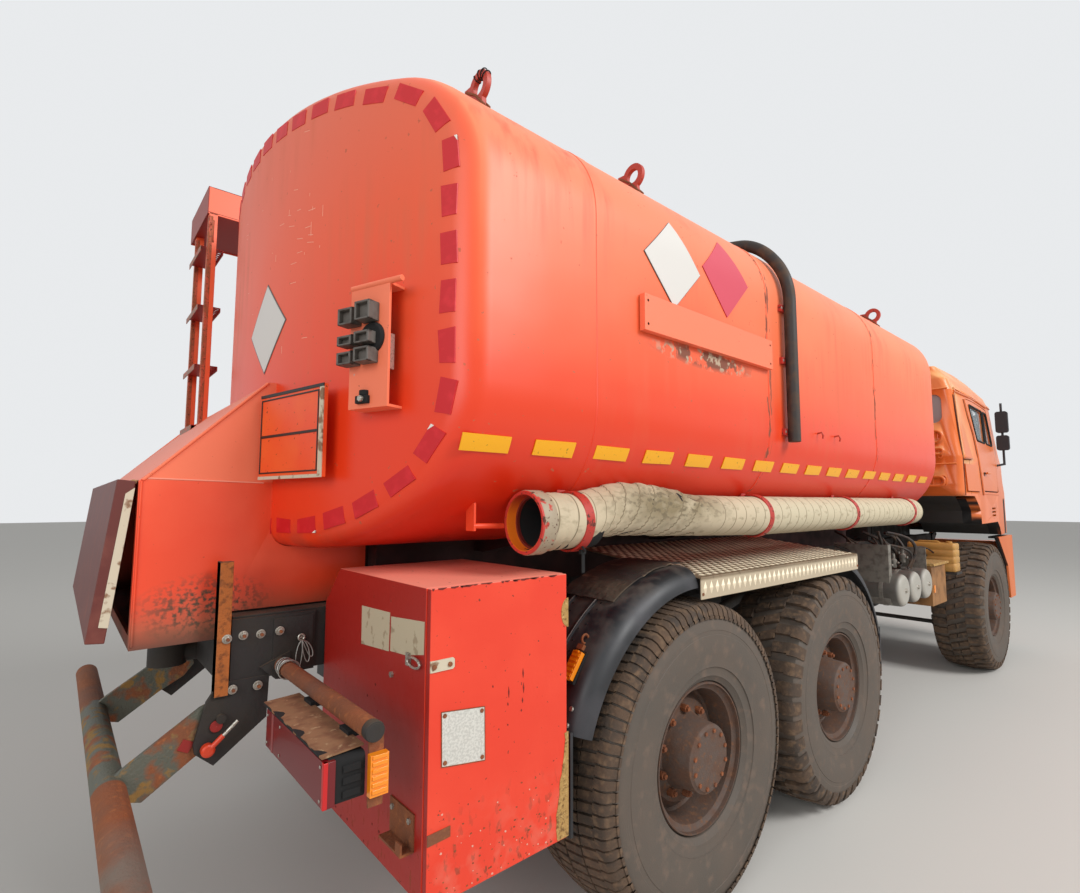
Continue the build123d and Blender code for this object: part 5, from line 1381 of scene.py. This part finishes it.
# %% [markdown]
# ## Rear end
# Bolts with washers hold the hanger plates, a lever with a red handle locks the bar's arm, wire loops hang
# from an eye bolt, and each lamp is a wine-red moulded lens before a black housing on a dusty bent tray.
# The post is an angle bar gone orange with rust. These are small forms that the plain packed solids don't
# have.

# %% Bolts, wire, lever and reflectors on the hanger plates
hardware = Shape()
for x, z in ((-3.755, 1.196), (-3.703, 1.197), (-3.649, 1.194), (-3.592, 1.198), (-3.731, 1.03),
             (-3.655, 1.028)):
    face = -0.4605 if x < -3.74 else -0.4545 if z < 1.1 or x > -3.6 else -0.442
    hardware.bolt((x, face + 0.004, z), (0, -1, 0), 0.015, 0.0055, 0, 20)
    hardware.bolt((x, face, z), (0, -1, 0), 0.0095, 0.011, 0)
    hardware.bolt((x, face, z), (0, -1, 0), 0.0055, 0.019, 1, 10)
eye = [(-3.522 + 0.01 * cos(t), -0.462, 1.167 + 0.01 * sin(t)) for t in circle(16, True)]
hardware.pipe(eye, 0.004, 8, 0)
hardware.pipe([(-3.522, -0.446, 1.167), (-3.522, -0.462, 1.167)], 0.005, 8, 0)
wire = Shape()
for drop, sway, depth in ((0.075, 0.02, 0.0), (0.095, -0.016, 0.006), (0.06, 0.034, -0.004)):
    wire.pipe([(-3.522 + sway * sin(t / 2) + 0.01 * sin(t), -0.464 - depth - 0.01 * sin(t / 2),
                1.157 - drop * (1 - cos(t)) / 2) for t in circle(20, True)], 0.002, 6)
for k in range(5):
    y, r = -0.5 - 0.012 * k, 0.028 + 0.001 * k
    ring = [(-3.585 + r * cos(t), y + 0.01 * sin(t + k), 1.085 + r * sin(t)) for t in circle(16, True)]
    wire.pipe(ring, 0.0024, 6)
hardware.turned([(-0.448, 0.018), (-0.455, 0.018), (-0.455, 0.0), (-0.44, 0.0)], 1, (-3.772, 0, 0.924), 24, 2)
hardware.pipe([(-3.795, -0.47, 0.86), (-3.755, -0.474, 0.898)], 0.0085, 10, 3)
hardware.pipe([(-3.757, -0.474, 0.896), (-3.715, -0.474, 0.935)], 0.006, 10, 0)
hardware.turned([(-0.452, 0.02), (-0.474, 0.02), (-0.478, 0.014), (-0.478, 0.0), (-0.452, 0.0)], 1,
                (-3.795, 0, 0.86), 16, 3)
hardware.box((-3.784, -3.7445), (-0.4605, -0.415), (1.016, 1.445), 4)
# Enamel on a lever that hands keep clean: bright orange-red.
handle_red = material("orange-red lever enamel", "#D8401C", 0.4)
# Moulded acrylic reflector in shade: dark red with a soft shine.
reflector_red = material("red reflector", "#8E1A14", 0.4)
piece("hanger_hardware", hardware, [bolt_steel, rusty_steel, reflector_red, handle_red, post_rust],
      "rear_brackets", bevel=0.0012)
piece("wire_loops", wire, zinc, "rear_brackets")

arm_marks = Shape().box((-3.866, -3.832), (-0.427, -0.423), (0.858, 0.892), 0,
                        about((-3.849, 0, 0.875), 0.5, "Y"))
piece("arm_reflector", arm_marks, reflector_red, "underrun_bar", bevel=0.001)

# %% Lamp tubes, lenses, trays and side markers
lamps = Shape()
tube_ends = Shape()
for side in (-1, 1):
    def across(near, far):
        """A pair of Y limits on this side."""
        return tuple(sorted((side * near, side * far)))

    lamps.box((-3.7, -3.672), across(0.738, 1.207), (0.934, 1.038), 0)
    lamps.box((-3.7015, -3.698), across(0.792, 0.806), (0.934, 1.038), 1)
    lamps.box((-3.701, -3.69), across(1.196, 1.208), (0.934, 1.038), 2)
    for y in (0.752, 0.87, 1.185):
        for z in (0.948, 1.024):
            lamps.bolt((-3.7, side * y, z), (-1, 0, 0), 0.0045, 0.0025, 3)
    lamps.box((-3.672, -3.604), across(0.745, 1.2), (0.938, 1.034), 4)
    for z in (0.955, 0.985, 1.012):
        lamps.box((-3.655, -3.612), across(1.2, 1.21), (z - 0.008, z + 0.008), 4)
    lamps.box((-3.594, -3.556), across(1.2045, 1.2115), (0.905, 1.072), 6)
    marker = (-3.598, -3.551)
    lamps.box(marker, across(1.212, 1.232), (0.936, 1.034), 5)
    for k in range(6):
        z = 0.944 + 0.016 * k
        lamps.box((marker[0] + 0.004, marker[1] - 0.004), across(1.23, 1.236), (z, z + 0.01), 5)
    tube_ends.turned([(side * 1.2215, 0.0), (side * 1.2215, 0.01), (side * 1.2255, 0.011),
                      (side * 1.2255, 0.02), (side * 1.221, 0.0255), (side * 1.205, 0.0255),
                      (side * 1.205, 0.0)], 1, (-3.585, 0, 1.085), 32, 0)
    tube_ends.turned([(side * 1.198, 0.0), (side * 1.198, 0.0248), (side * 0.47, 0.0248), (side * 0.47, 0.0)],
                     1, (-3.585, 0, 1.085), 32, 1)
# The milky joint between two lens colours.
lens_strip = material("milky divider in the lens", "#8E4A48", 0.4)
# The lens's edge gathers light and looks brighter than its face.
lens_edge = material("bright red lens edge", "#C01A1C", 0.3)
piece("lamp_lenses", lamps, [lens_red, lens_strip, lens_edge, bolt_steel, black_gap, lens_amber, rusty_steel],
      "rear_lamps", bevel=0.002)
piece("lamp_tube_skin", tube_ends, [chassis_black, rusty_steel], "rear_brackets")

tray = Shape()
for side in (-1, 1):
    count = 36
    edge = [0.5 + 0.5 * field.noise(Vector((i * 0.35, 2.0, side))) for i in range(count + 1)]
    rows = []
    for i, wave in enumerate(edge):
        y = side * (0.7 + 0.49 * i / count)
        lift = 0.0022 + 0.0022 * sin(i * 0.5)
        rows.append([(-3.704 + 0.01 * wave, y, 1.0405 + lift), (-3.704 + 0.01 * wave, y, 1.0445 + lift),
                     (-3.598, y, 1.052), (-3.598, y, 1.048)])
    points = [p for row in rows for p in row]
    faces = [(0, 1, 2, 3), tuple(4 * count + k for k in (3, 2, 1, 0))]
    faces += [(4 * i + k, 4 * i + (k + 1) % 4, 4 * i + 4 + (k + 1) % 4, 4 * i + 4 + k) for i in range(count)
              for k in range(4)]
    tray.add(points, faces, 0)
# Sheet rusted brown under a layer of pale road dust.
dusty_rust = material("dust over rusty sheet", "#8A6446", 0.9,
                      [(0.05, 0.45, 0.65, "#6E4630", 0.9), (0.02, 0.6, 0.7, "#A88A68", 0.95)])
piece("lamp_trays", tray, dusty_rust, "rear_lamps")

# %% [markdown]
# ## Checker plate, guards and step
# The deck is aluminium checker plate: long raised lozenges in staggered rows on top, upright ones along the
# turned-down lip, with rivets at its corners. Each lozenge is a low pyramid, as the rolls press it, and
# catches the light on one side only. The guards carry side markers and small bolts.

# %% Lozenges of the deck and its lip
DECK_X, DECK_IN, DECK_OUT = (-2.185, -0.545), (0.5, 1.412), (1.212, 1.332)
studs = Shape()


def stud(corner_a, corner_b, corner_c, corner_d, top):
    """A low pyramid on four corners."""
    start = len(studs.points)
    studs.points += [tuple(c) for c in (corner_a, corner_b, corner_c, corner_d, top)]
    studs.faces += [(start, start + 1, start + 4), (start + 1, start + 2, start + 4),
                    (start + 2, start + 3, start + 4), (start + 3, start, start + 4),
                    (start + 3, start + 2, start + 1, start)]
    studs.tags += [0] * 5


slope = (DECK_OUT[1] - DECK_IN[1]) / (DECK_OUT[0] - DECK_IN[0])
out_way = Vector((0, -slope, 1)).normalized()
for side in (-1, 1):
    for row in range(22):
        y = 0.52 + 0.0315 * row
        for k in range(33):
            x = DECK_X[0] + 0.026 + 0.05 * k + (0.025 if row % 2 else 0)
            if x > DECK_X[1] - 0.022:
                continue
            z = DECK_IN[1] + slope * (y - DECK_IN[0]) - 0.0006
            lift = Vector((0, side * out_way.y, out_way.z)) * 0.0055
            middle = Vector((x, side * y, z))
            tilt = Vector((0.02, 0.009 * side, slope * 0.009))
            cross = Vector((-0.005, 0.0088 * side, slope * 0.0088))
            stud(middle - tilt, middle + cross, middle + tilt, middle - cross, middle + lift)
    for k in range(36):
        x = DECK_X[0] + 0.03 + 0.0448 * k
        middle = Vector((x, side * 1.2115, 1.286))
        tall, broad = Vector((0, 0, 0.03)), Vector((0.015, 0, 0))
        stud(middle - tall, middle + broad, middle + tall, middle - broad,
             middle + Vector((0, side * 0.007, 0)))
piece("deck_lozenges", studs, lozenge, "deck_plates", smooth=20)
rivets = Shape()
for side in (-1, 1):
    for x in (DECK_X[0] + 0.012, DECK_X[1] - 0.012):
        rivets.bolt((x, side * 1.2115, 1.262), (0, side, 0), 0.0065, 0.003, 0, 12)
    for x in (-1.95, -1.42, -0.9, -0.64):
        z = DECK_IN[1] + slope * (0.98 - DECK_IN[0])
        rivets.bolt((x, side * 0.98, z - 0.001), (0, side * out_way.y, out_way.z), 0.008, 0.0025, 0, 12)
piece("deck_rivets", rivets, rusty_steel, "deck_plates")
print("lozenges:", len(studs.faces) // 5)

# %% Markers, bolts and cover on the rear guards
GUARD_R, GUARD_AXLE = 0.752, (-2.185, 0.62)


def on_guard(angle, side, y, lift=0.0):
    """A point on the rear guard: degrees behind the top of the wheel, at this distance from the middle."""
    t = radians(angle)
    return (GUARD_AXLE[0] - (GUARD_R + lift) * sin(t), side * y, GUARD_AXLE[1] + (GUARD_R + lift) * cos(t))


guard_bits = Shape()
for side in (-1, 1):
    low, top = on_guard(58, side, 1.1, 0.0), on_guard(50, side, 1.1, 0.0)
    run = (Vector(top) - Vector(low)).normalized()
    wide, out = Vector((0, side, 0)), run.cross(Vector((0, 1, 0))).normalized()
    out = out if out.x < 0 else -out
    base = Matrix([(*row, place) for row, place in zip(zip(wide, run, out), low)] + [(0, 0, 0, 1)])
    length = (Vector(top) - Vector(low)).length
    guard_bits.box((-0.026, 0.026), (-0.006, length + 0.006), (-0.002, 0.01), 0, base)
    guard_bits.box((-0.022, 0.022), (0.002, length - 0.002), (0.01, 0.028), 1, base)
    for k in range(5):
        guard_bits.box((-0.018, 0.018), (0.01 + k * 0.018, 0.02 + k * 0.018), (0.028, 0.031), 1, base)
    for end in (0.004, length - 0.004):
        guard_bits.box((-0.008, 0.008), (end - 0.004, end + 0.004), (0.01, 0.032), 1, base)
    hook = [Vector(on_guard(46, side, 1.085, 0.008)) + Vector((cos(t) * 0.016, 0, sin(t) * 0.016))
            for t in circle(16, True)]
    guard_bits.pipe(hook, 0.0045, 8, 2)
    guard_bits.box((-0.03, 0.0), (length + 0.01, length + 0.03), (-0.002, 0.012), 2, base)
    for angle in (64, 68):
        place = on_guard(angle, side, 1.15, -0.002)
        guard_bits.bolt(place, Vector((-sin(radians(angle)), 0, cos(radians(angle)))), 0.0085, 0.007, 3, 8)
    for angle in range(8, 66, 3):
        for y in (0.885, 1.0):
            guard_bits.bolt(on_guard(angle + dice.uniform(-1, 1), side, y + dice.uniform(0.01, 0.04), -0.001),
                            (-sin(radians(angle)), 0, cos(radians(angle))), 0.004, 0.003, 0, 6)
piece("guard_fittings", guard_bits, [black_gap, lens_amber, rusty_steel, bolt_steel], "mudguards",
      bevel=0.001)
lines = Shape()
for side in (-1, 1):
    for y in (0.88, 1.0):
        lines.pipe([on_guard(a, side, y, 0.0065) for a in range(4, 70, 3)], 0.0022, 6)
    flap = [(-2.8905, side * (1.09 + 0.03 * sin(t)), 0.84 - 0.26 * t / 1.6)
            for t in [0.2 * i for i in range(9)]]
    lines.pipe(flap, 0.0016, 6)
# An edge of moulded plastic, scuffed from black to grey.
rib_grey = material("scuffed light edge of moulded plastic", "#6E6A66", 0.6)
piece("guard_ribs", lines, rib_grey, "mudguards")
cover = Shape()
for side in (-1, 1):
    count_a, count_y = 26, 16
    rows = []
    for layer in (0.0, 0.005):
        for i in range(count_a + 1):
            for j in range(count_y + 1):
                angle, y = -2 + 34 * i / count_a, 0.8 + 0.29 * j / count_y
                wave = 0.006 * field.noise(Vector((i * 0.35, j * 0.5 + i * 0.25, side * 2.0)))
                rows.append(on_guard(angle, side, y, 0.006 + layer + max(wave, -0.004)))
    cover.layers(rows, count_a, count_y)
# Thin black sheet, wrinkled, with dust lying along the wrinkles.
dusty_sheet = material("dust on wrinkled black sheet", "#382F2A", 0.8,
                       [(0.12, 0.45, 0.65, (1, 0.3, 1), "#544638", 0.9),
                        (0.05, 0.6, 0.72, (1, 0.3, 1), "#7E6A56", 0.95)], 0.03, 0.003)
piece("guard_covers", cover, dusty_sheet, "mudguards")

# %% [markdown]
# ## Doors, seams and rubber of the cab
# A pressed cab shows its joints: a dark seam behind the corner post, a raked one before it, the shut line
# of the door behind a raised flange, a drip rail, and black rubber round each pane. The skin leans in above
# the waist and towards the nose, so one small function gives its place, and every line lies on it.

# %% Seams, flange, rail and ribs
def skin(x, z, side, lift=0.0):
    """A place on the outer skin of the cab's side."""
    half = 1.25 - 0.0833 * max(z - 2.06, 0) - 0.05 * max(x - 2.46, 0)
    return Vector((x, side * (half + lift), z))


SEAM_CORNER = ((1.806, 2.61), (1.812, 2.386), (1.812, 2.022), (1.826, 1.704))
SEAM_RAKED = ((1.822, 2.6), (1.88, 2.478), (1.937, 2.348), (1.979, 2.191), (2.028, 2.04))
DOOR_FLANGE = ((2.15, 2.61), (2.205, 2.45), (2.3, 2.28), (2.335, 2.1), (2.4, 1.912), (2.462, 1.709))
DOOR_SHUT = ((2.5, 1.752), (3.346, 1.752), (3.188, 2.618), (2.217, 2.618), (2.5, 1.752))
cab_lines, cab_ribs = Shape(), Shape()
for side in (-1, 1):
    for route, radius in ((SEAM_CORNER, 0.0075), (SEAM_RAKED, 0.005), (DOOR_SHUT, 0.004)):
        cab_lines.pipe([skin(x, z, side, -0.002) for x, z in route], radius, 8)
    cab_lines.pipe([skin(x - 0.012, z, side, -0.002) for x, z in DOOR_FLANGE], 0.006, 8)
    cab_lines.pipe([skin(x, z, side, -0.002) for x, z in ((2.028, 2.038), (2.03, 1.88), (2.036, 1.712))],
                   0.003, 8)
    cab_lines.pipe([skin(x, 2.042, side, -0.002) for x in (1.83, 2.12)], 0.0035, 8)
    for (x0, z0), (x1, z1) in zip(DOOR_FLANGE, DOOR_FLANGE[1:]):
        corners = [skin(x0, z0, side, -0.004), skin(x0 + 0.052, z0, side, -0.004),
                   skin(x0 + 0.046, z0, side, 0.01), skin(x0 + 0.006, z0, side, 0.01),
                   skin(x1, z1, side, -0.004), skin(x1 + 0.052, z1, side, -0.004),
                   skin(x1 + 0.046, z1, side, 0.01), skin(x1 + 0.006, z1, side, 0.01)]
        cab_ribs.add(corners, [(0, 1, 2, 3), (7, 6, 5, 4), (0, 4, 5, 1), (1, 5, 6, 2), (2, 6, 7, 3),
                               (3, 7, 4, 0)])
    cab_ribs.pipe([skin(x, z, side, 0.004)
                   for x, z in ((1.83, 2.648), (2.25, 2.652), (2.7, 2.655), (3.2, 2.65))], 0.009, 10)
    cab_ribs.pipe([skin(x, 1.722, side, -0.001) for x in (2.48, 3.36)], 0.006, 8)
RECESSES = (((-1.085, 2.266), (-1.118, 2.197)), ((-1.078, 2.109), (-1.115, 2.04)),
            ((-1.03, 1.88), (-1.143, 1.787)))
for side in (-1, 1):
    for (y0, z0), (y1, z1) in RECESSES:
        y1 = y0 + 0.9 * (y1 - y0)
        limits = sorted((abs(y0), abs(y1))), sorted((z0, z1))
        corners = [(1.7445, side * y, z) for y, z in rounded(*limits, 0.018, 4)]
        cab_ribs.pipe(corners + corners[:1], 0.0065, 8)
    cab_ribs.pipe([(1.7445, side * y, 1.985) for y in (0.6, 1.215)], 0.0075, 8)
    cab_ribs.pipe([(1.7445, side * y, 2.668) for y in (0.1, 1.18)], 0.0075, 8)
# A seam between panels is a slot full of shadow and red-brown dirt.
seam_dark = material("shadow in a panel seam", "#4A160A", 0.8)
piece("cab_seams", cab_lines, seam_dark, "cab_sides")
piece("cab_ribs", cab_ribs, cab_orange, "cab_sides")

# %% Rubber round the panes and the door handles
PANES = (((2.42, 2.235), (2.83, 2.235), (2.92, 2.575), (2.31, 2.575)),
         ((2.885, 2.235), (3.235, 2.235), (3.165, 2.575), (2.975, 2.575)))
for side, word in ((-1, "right"), (1, "left")):
    rubber = Shape()
    for pane in PANES:
        loop_points = []
        for k in range(4):
            corner, before, after = (Vector(pane[(k + m) % 4]) for m in (0, -1, 1))
            start = corner + (before - corner).normalized() * 0.035
            end = corner + (after - corner).normalized() * 0.035
            for i in range(5):
                t = i / 4
                at = start * (1 - t) ** 2 + corner * 2 * t * (1 - t) + end * t * t
                loop_points.append(skin(at.x, at.y, side, -0.001))
        rubber.pipe(loop_points + loop_points[:1], 0.0095, 8)
    handle = [skin(x, 1.93 - 0.1 * abs(x - 2.645), side, lift)
              for x, lift in ((2.595, 0.002), (2.605, 0.016), (2.645, 0.018), (2.69, 0.016), (2.7, 0.002))]
    rubber.pipe(handle, 0.0075, 8)
    rubber.turned([(side * 1.238, 0.02), (side * 1.246, 0.02), (side * 1.246, 0.0), (side * 1.238, 0.0)], 1,
                  (2.575, 0, 1.915), 20)
    piece(f"door_rubber_{word}", rubber, black_gap, f"door_{word}")

# %% [markdown]
# A headlamp is a silvered bowl behind pressed glass. Both are turned profiles: a flat disc with a bright
# finish would look painted on.

# %% Headlamps in the bumper
HEADLAMP_Y, HEADLAMP_Z = (0.64, 1.0), 0.91
headlamps = Shape()
for side in (-1, 1):
    for y in HEADLAMP_Y:
        centre = (0, side * y, HEADLAMP_Z)
        headlamps.turned([(4.06, 0.0), (4.06, 0.03), (4.078, 0.07), (4.086, 0.0785), (4.09, 0.0785),
                          (4.09, 0.0845), (4.05, 0.0845), (4.05, 0.0)], 0, centre, 40)
        headlamps.turned([(4.086, 0.0), (4.086, 0.077), (4.092, 0.078), (4.1, 0.06), (4.104, 0.03),
                          (4.105, 0.0)], 0, centre, 40, tag=1)
# Pressed clear glass: the silvered bowl shows through it. Glass has an IOR of 1.5.
lamp_glass = material("clear pressed lamp glass", "#E8ECEE", 0.08, Transmission_Weight=0.8, IOR=1.5)
piece("headlamps", headlamps, [mirror_face, lamp_glass], "front_bumper")

# %% [markdown]
# ## Side equipment
# Behind the deck a dark nest of valves, hoses and brackets serves the air tanks. We make the ones that a
# passer-by can tell apart: two grey bracket plates, a valve block, caps on the tanks, a reflector, a plank,
# and a dozen hoses. The tan canister has the three pressed waists and the cap of its kind.

# %% Hoses, valves, brackets and plank
hoses, valves = Shape(), Shape()
nest = random.Random(11)
for k in range(14):
    start = Vector((nest.uniform(0.36, 1.1), nest.uniform(-1.08, -0.7), 1.115))
    end = Vector((start.x + nest.uniform(-0.25, 0.3), nest.uniform(-0.95, -0.6), nest.uniform(1.3, 1.42)))
    swing = Vector((nest.uniform(-0.08, 0.12), nest.uniform(-0.1, 0.02), nest.uniform(0.0, 0.06)))
    route = [start + (end - start) * t + swing * sin(pi * t) for t in [i / 9 for i in range(10)]]
    hoses.pipe(route, nest.uniform(0.006, 0.013), 8)
for k in range(5):
    y = -1.0 + 0.05 * k
    route = [Vector((1.1 + 0.62 * t, y + 0.03 * sin(5 * t + k), 1.16 + 0.1 * sin(pi * t) - 0.03 * k))
             for t in [i / 11 for i in range(12)]]
    hoses.pipe(route, 0.0065, 8)
for k in range(7):
    x, y, z = 0.42 + 0.115 * k, -0.92 - 0.03 * (k % 3), 1.18 + 0.035 * (k % 2)
    valves.turned([(z - 0.06, 0.02), (z - 0.015, 0.026), (z, 0.026), (z + 0.012, 0.014), (z + 0.05, 0.012),
                   (z + 0.052, 0.0), (z - 0.06, 0.0)], 2, (x, y, 0), 14)
    valves.bolt((x, y - 0.024, z - 0.02), (0, -1, 0), 0.01, 0.016, 1)
valves.box((0.375, 0.385), (-1.08, -0.7), (0.9, 1.33))
valves.box((0.38, 0.43), (-1.08, -1.072), (0.9, 1.33))
valves.box((0.44, 0.52), (-1.05, -0.96), (1.15, 1.29))
valves.box((1.165, 1.172), (-1.1, -0.78), (1.09, 1.27))
for x in (0.48, 0.75, 1.02):
    valves.turned([(-1.162, 0.0), (-1.162, 0.014), (-1.15, 0.016), (-1.146, 0.034), (-1.13, 0.036),
                   (-1.13, 0.0)], 1, (x, 0, 1.0), 16, 1)
    for y in (-1.02, -0.66):
        valves.turned([(y - 0.014, 0.1215), (y + 0.014, 0.1215), (y + 0.014, 0.117), (y - 0.014, 0.117)], 1,
                      (x, 0, 1.0), 40)
plank = Shape().box((1.175, 1.6), (-1.15, -0.985), (1.122, 1.142))
plank.box((1.18, 1.59), (-0.975, -0.87), (1.122, 1.139), 0, about((1.385, -0.92, 1.13), 0.06, "Z"))
plank.box((1.21, 1.245), (-1.137, -1.131), (0.905, 0.965), 1)
piece("side_hoses", hoses, hose_rubber, "side_units")
# Grey cast alloy under dust: dull, with darker oily spots.
casting_grey = material("grey casting under dust", "#7A756C", 0.6, [(0.04, 0.45, 0.7, "#5A544C", 0.8)])
piece("side_valves", valves, [casting_grey, bolt_steel], "side_units", bevel=0.002)
piece("side_planks", plank, [board_wood, lens_amber], "side_units", bevel=0.002)

# %% Canister with pressed waists
can_low, can_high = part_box("canister")
CAN_X, CAN_Y, CAN_Z = (1.642, 1.798), (-1.188, -0.822), (1.042, 1.284)
can = Shape()
levels = [(CAN_Z[0], 0.006), (CAN_Z[0] + 0.008, 0)]
for z in (1.112, 1.17, 1.228):
    levels += [(z - 0.006, 0), (z - 0.001, 0.005), (z + 0.001, 0.005), (z + 0.006, 0)]
levels += [(CAN_Z[1] - 0.01, 0), (CAN_Z[1], 0.008)]
rings = []
for z, inset in levels:
    rings.append([(x, y, z) for x, y in rounded(CAN_X, CAN_Y, 0.022, 6, inset)])
closed_rings(can, rings)
can.turned([(1.282, 0.024), (1.296, 0.024), (1.299, 0.02), (1.299, 0.0), (1.282, 0.0)], 2, (1.72, -1.13, 0),
           20)
can.pipe([(1.72, -1.06, 1.282), (1.72, -1.045, 1.294), (1.72, -0.9, 1.294), (1.72, -0.885, 1.282)], 0.008, 8)
can.box((can_low.x, can_high.x), (can_low.y, can_high.y), (can_low.z, can_low.z + 0.018), 1)
piece("tan_canister", can, [tan_plastic, chassis_black], "canister", stands=True, smooth=50)
print("canister box:", [round(v, 3) for v in (*can_low, *can_high)])

# %% [markdown]
# ## Pump compartment's edges
# The lid of the compartment is a folded pan: its narrow side shows old whitish paint, the skin behind it is
# painted maroon as painted shade. A greasy hinge with a curved grip joins it to the roof, and folded flanges
# run along the slope.

# %% Whitish edge, hinge grips and flanges
edge_strip = Shape()
for side_y, way in ((-0.356, -1), (1.196, 1)):
    corners = [(-4.037, 1.668), (-4.013, 1.688), (-4.058, 1.257), (-4.082, 1.262)]
    edge_strip.plate(corners, 1, tuple(sorted((side_y + way * 0.0015, side_y - way * 0.004))), 0)
piece("door_side_edge", edge_strip, door_edge, "compartment_door", bevel=0.001)
flanges = Shape()
for y in (-0.361, 1.201):
    flanges.pipe([(-3.995, y, 1.7115), (-3.64, y, 2.076)], 0.0055, 8)
    flanges.pipe([(-3.998, y, 1.19), (-3.998, y, 1.708)], 0.004, 8)
    flanges.pipe([(-3.992, y, 1.719), (-3.64, y, 1.711)], 0.0026, 8, 2)
# Grease on a hinge: wet yellow-brown gloss, darker where grit sticks in it.
grease = material("yellowish grease on a hinge", "#A8885A", 0.35, [(0.01, 0.5, 0.6, "#5E452C", 0.6)])
for y in (-0.3, 0.42, 1.12):
    flanges.pipe([(-4.016, y - 0.034, 1.706), (-4.016, y + 0.034, 1.706)], 0.0085, 12, 1)
    flanges.box((-4.016, -3.985), (y - 0.03, y + 0.03), (1.708, 1.713), 1)
# A painted highlight: the lit edge of a crease in the sheet, drawn as a pale line.
crease_highlight = material("painted highlight along a crease", "#F49A80", 0.45)
piece("compartment_flanges", flanges, [compartment_red, grease, crease_highlight], "pump_compartment",
      bevel=0.001)

# %% [markdown]
# ## Floor and light
# A plain pale floor, a large soft lamp on the truck's sunny right side, a weaker one behind the camera and
# an even sky. The background is brighter for the camera and for reflections, and lights the truck more
# weakly.

# %% Studio
floor = bpy.data.meshes.new("floor")
REACH = 60
floor.from_pydata([(-REACH, -REACH, 0), (REACH, -REACH, 0), (REACH, REACH, 0), (-REACH, REACH, 0)], [],
                  [(0, 1, 2, 3)])
# A painted concrete floor: pale, dull and even, so that only the truck draws the eye.
pale_floor = material("pale floor", "#CFCCC6", 0.9)
floor.materials.append(pale_floor)
ground = bpy.data.objects.new("floor", floor)
scene.collection.objects.link(ground)
ground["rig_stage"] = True

world = bpy.data.worlds.new("sky")
scene.world = world
world.use_nodes = True
sky = world.node_tree
rays = add_node(sky, "LightPath").outputs
seen = add_node(sky, "Math", {0: rays["Is Camera Ray"], 1: rays["Is Glossy Ray"]},
                operation="MAXIMUM").outputs[0]
seen = add_node(sky, "Math", {0: seen, 1: rays["Is Transmission Ray"]}, operation="MAXIMUM").outputs[0]
strength = add_node(sky, "MapRange", {"Value": seen, "To Min": 0.52, "To Max": 0.95}).outputs[0]
backdrop = sky.nodes["Background"]
backdrop.inputs["Color"].default_value = linear("#EEF0F2")
sky.links.new(strength, backdrop.inputs["Strength"])


def lamp(name, place, target, size, power):
    """A square soft lamp that looks at a point."""
    light = bpy.data.lights.new(name, "AREA")
    light.size, light.energy = size, power
    stand = bpy.data.objects.new(name, light)
    stand.location = place
    stand.rotation_euler = (Vector(target) - Vector(place)).to_track_quat("-Z", "Y").to_euler()
    scene.collection.objects.link(stand)


lamp("sun side", (1.5, -11, 9), (-0.5, 0, 1.2), 5, 1300)
lamp("behind the camera", (-11, -5, 5), (-2, 0, 1.5), 5, 340)

# %% Sizes of the truck
low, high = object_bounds()
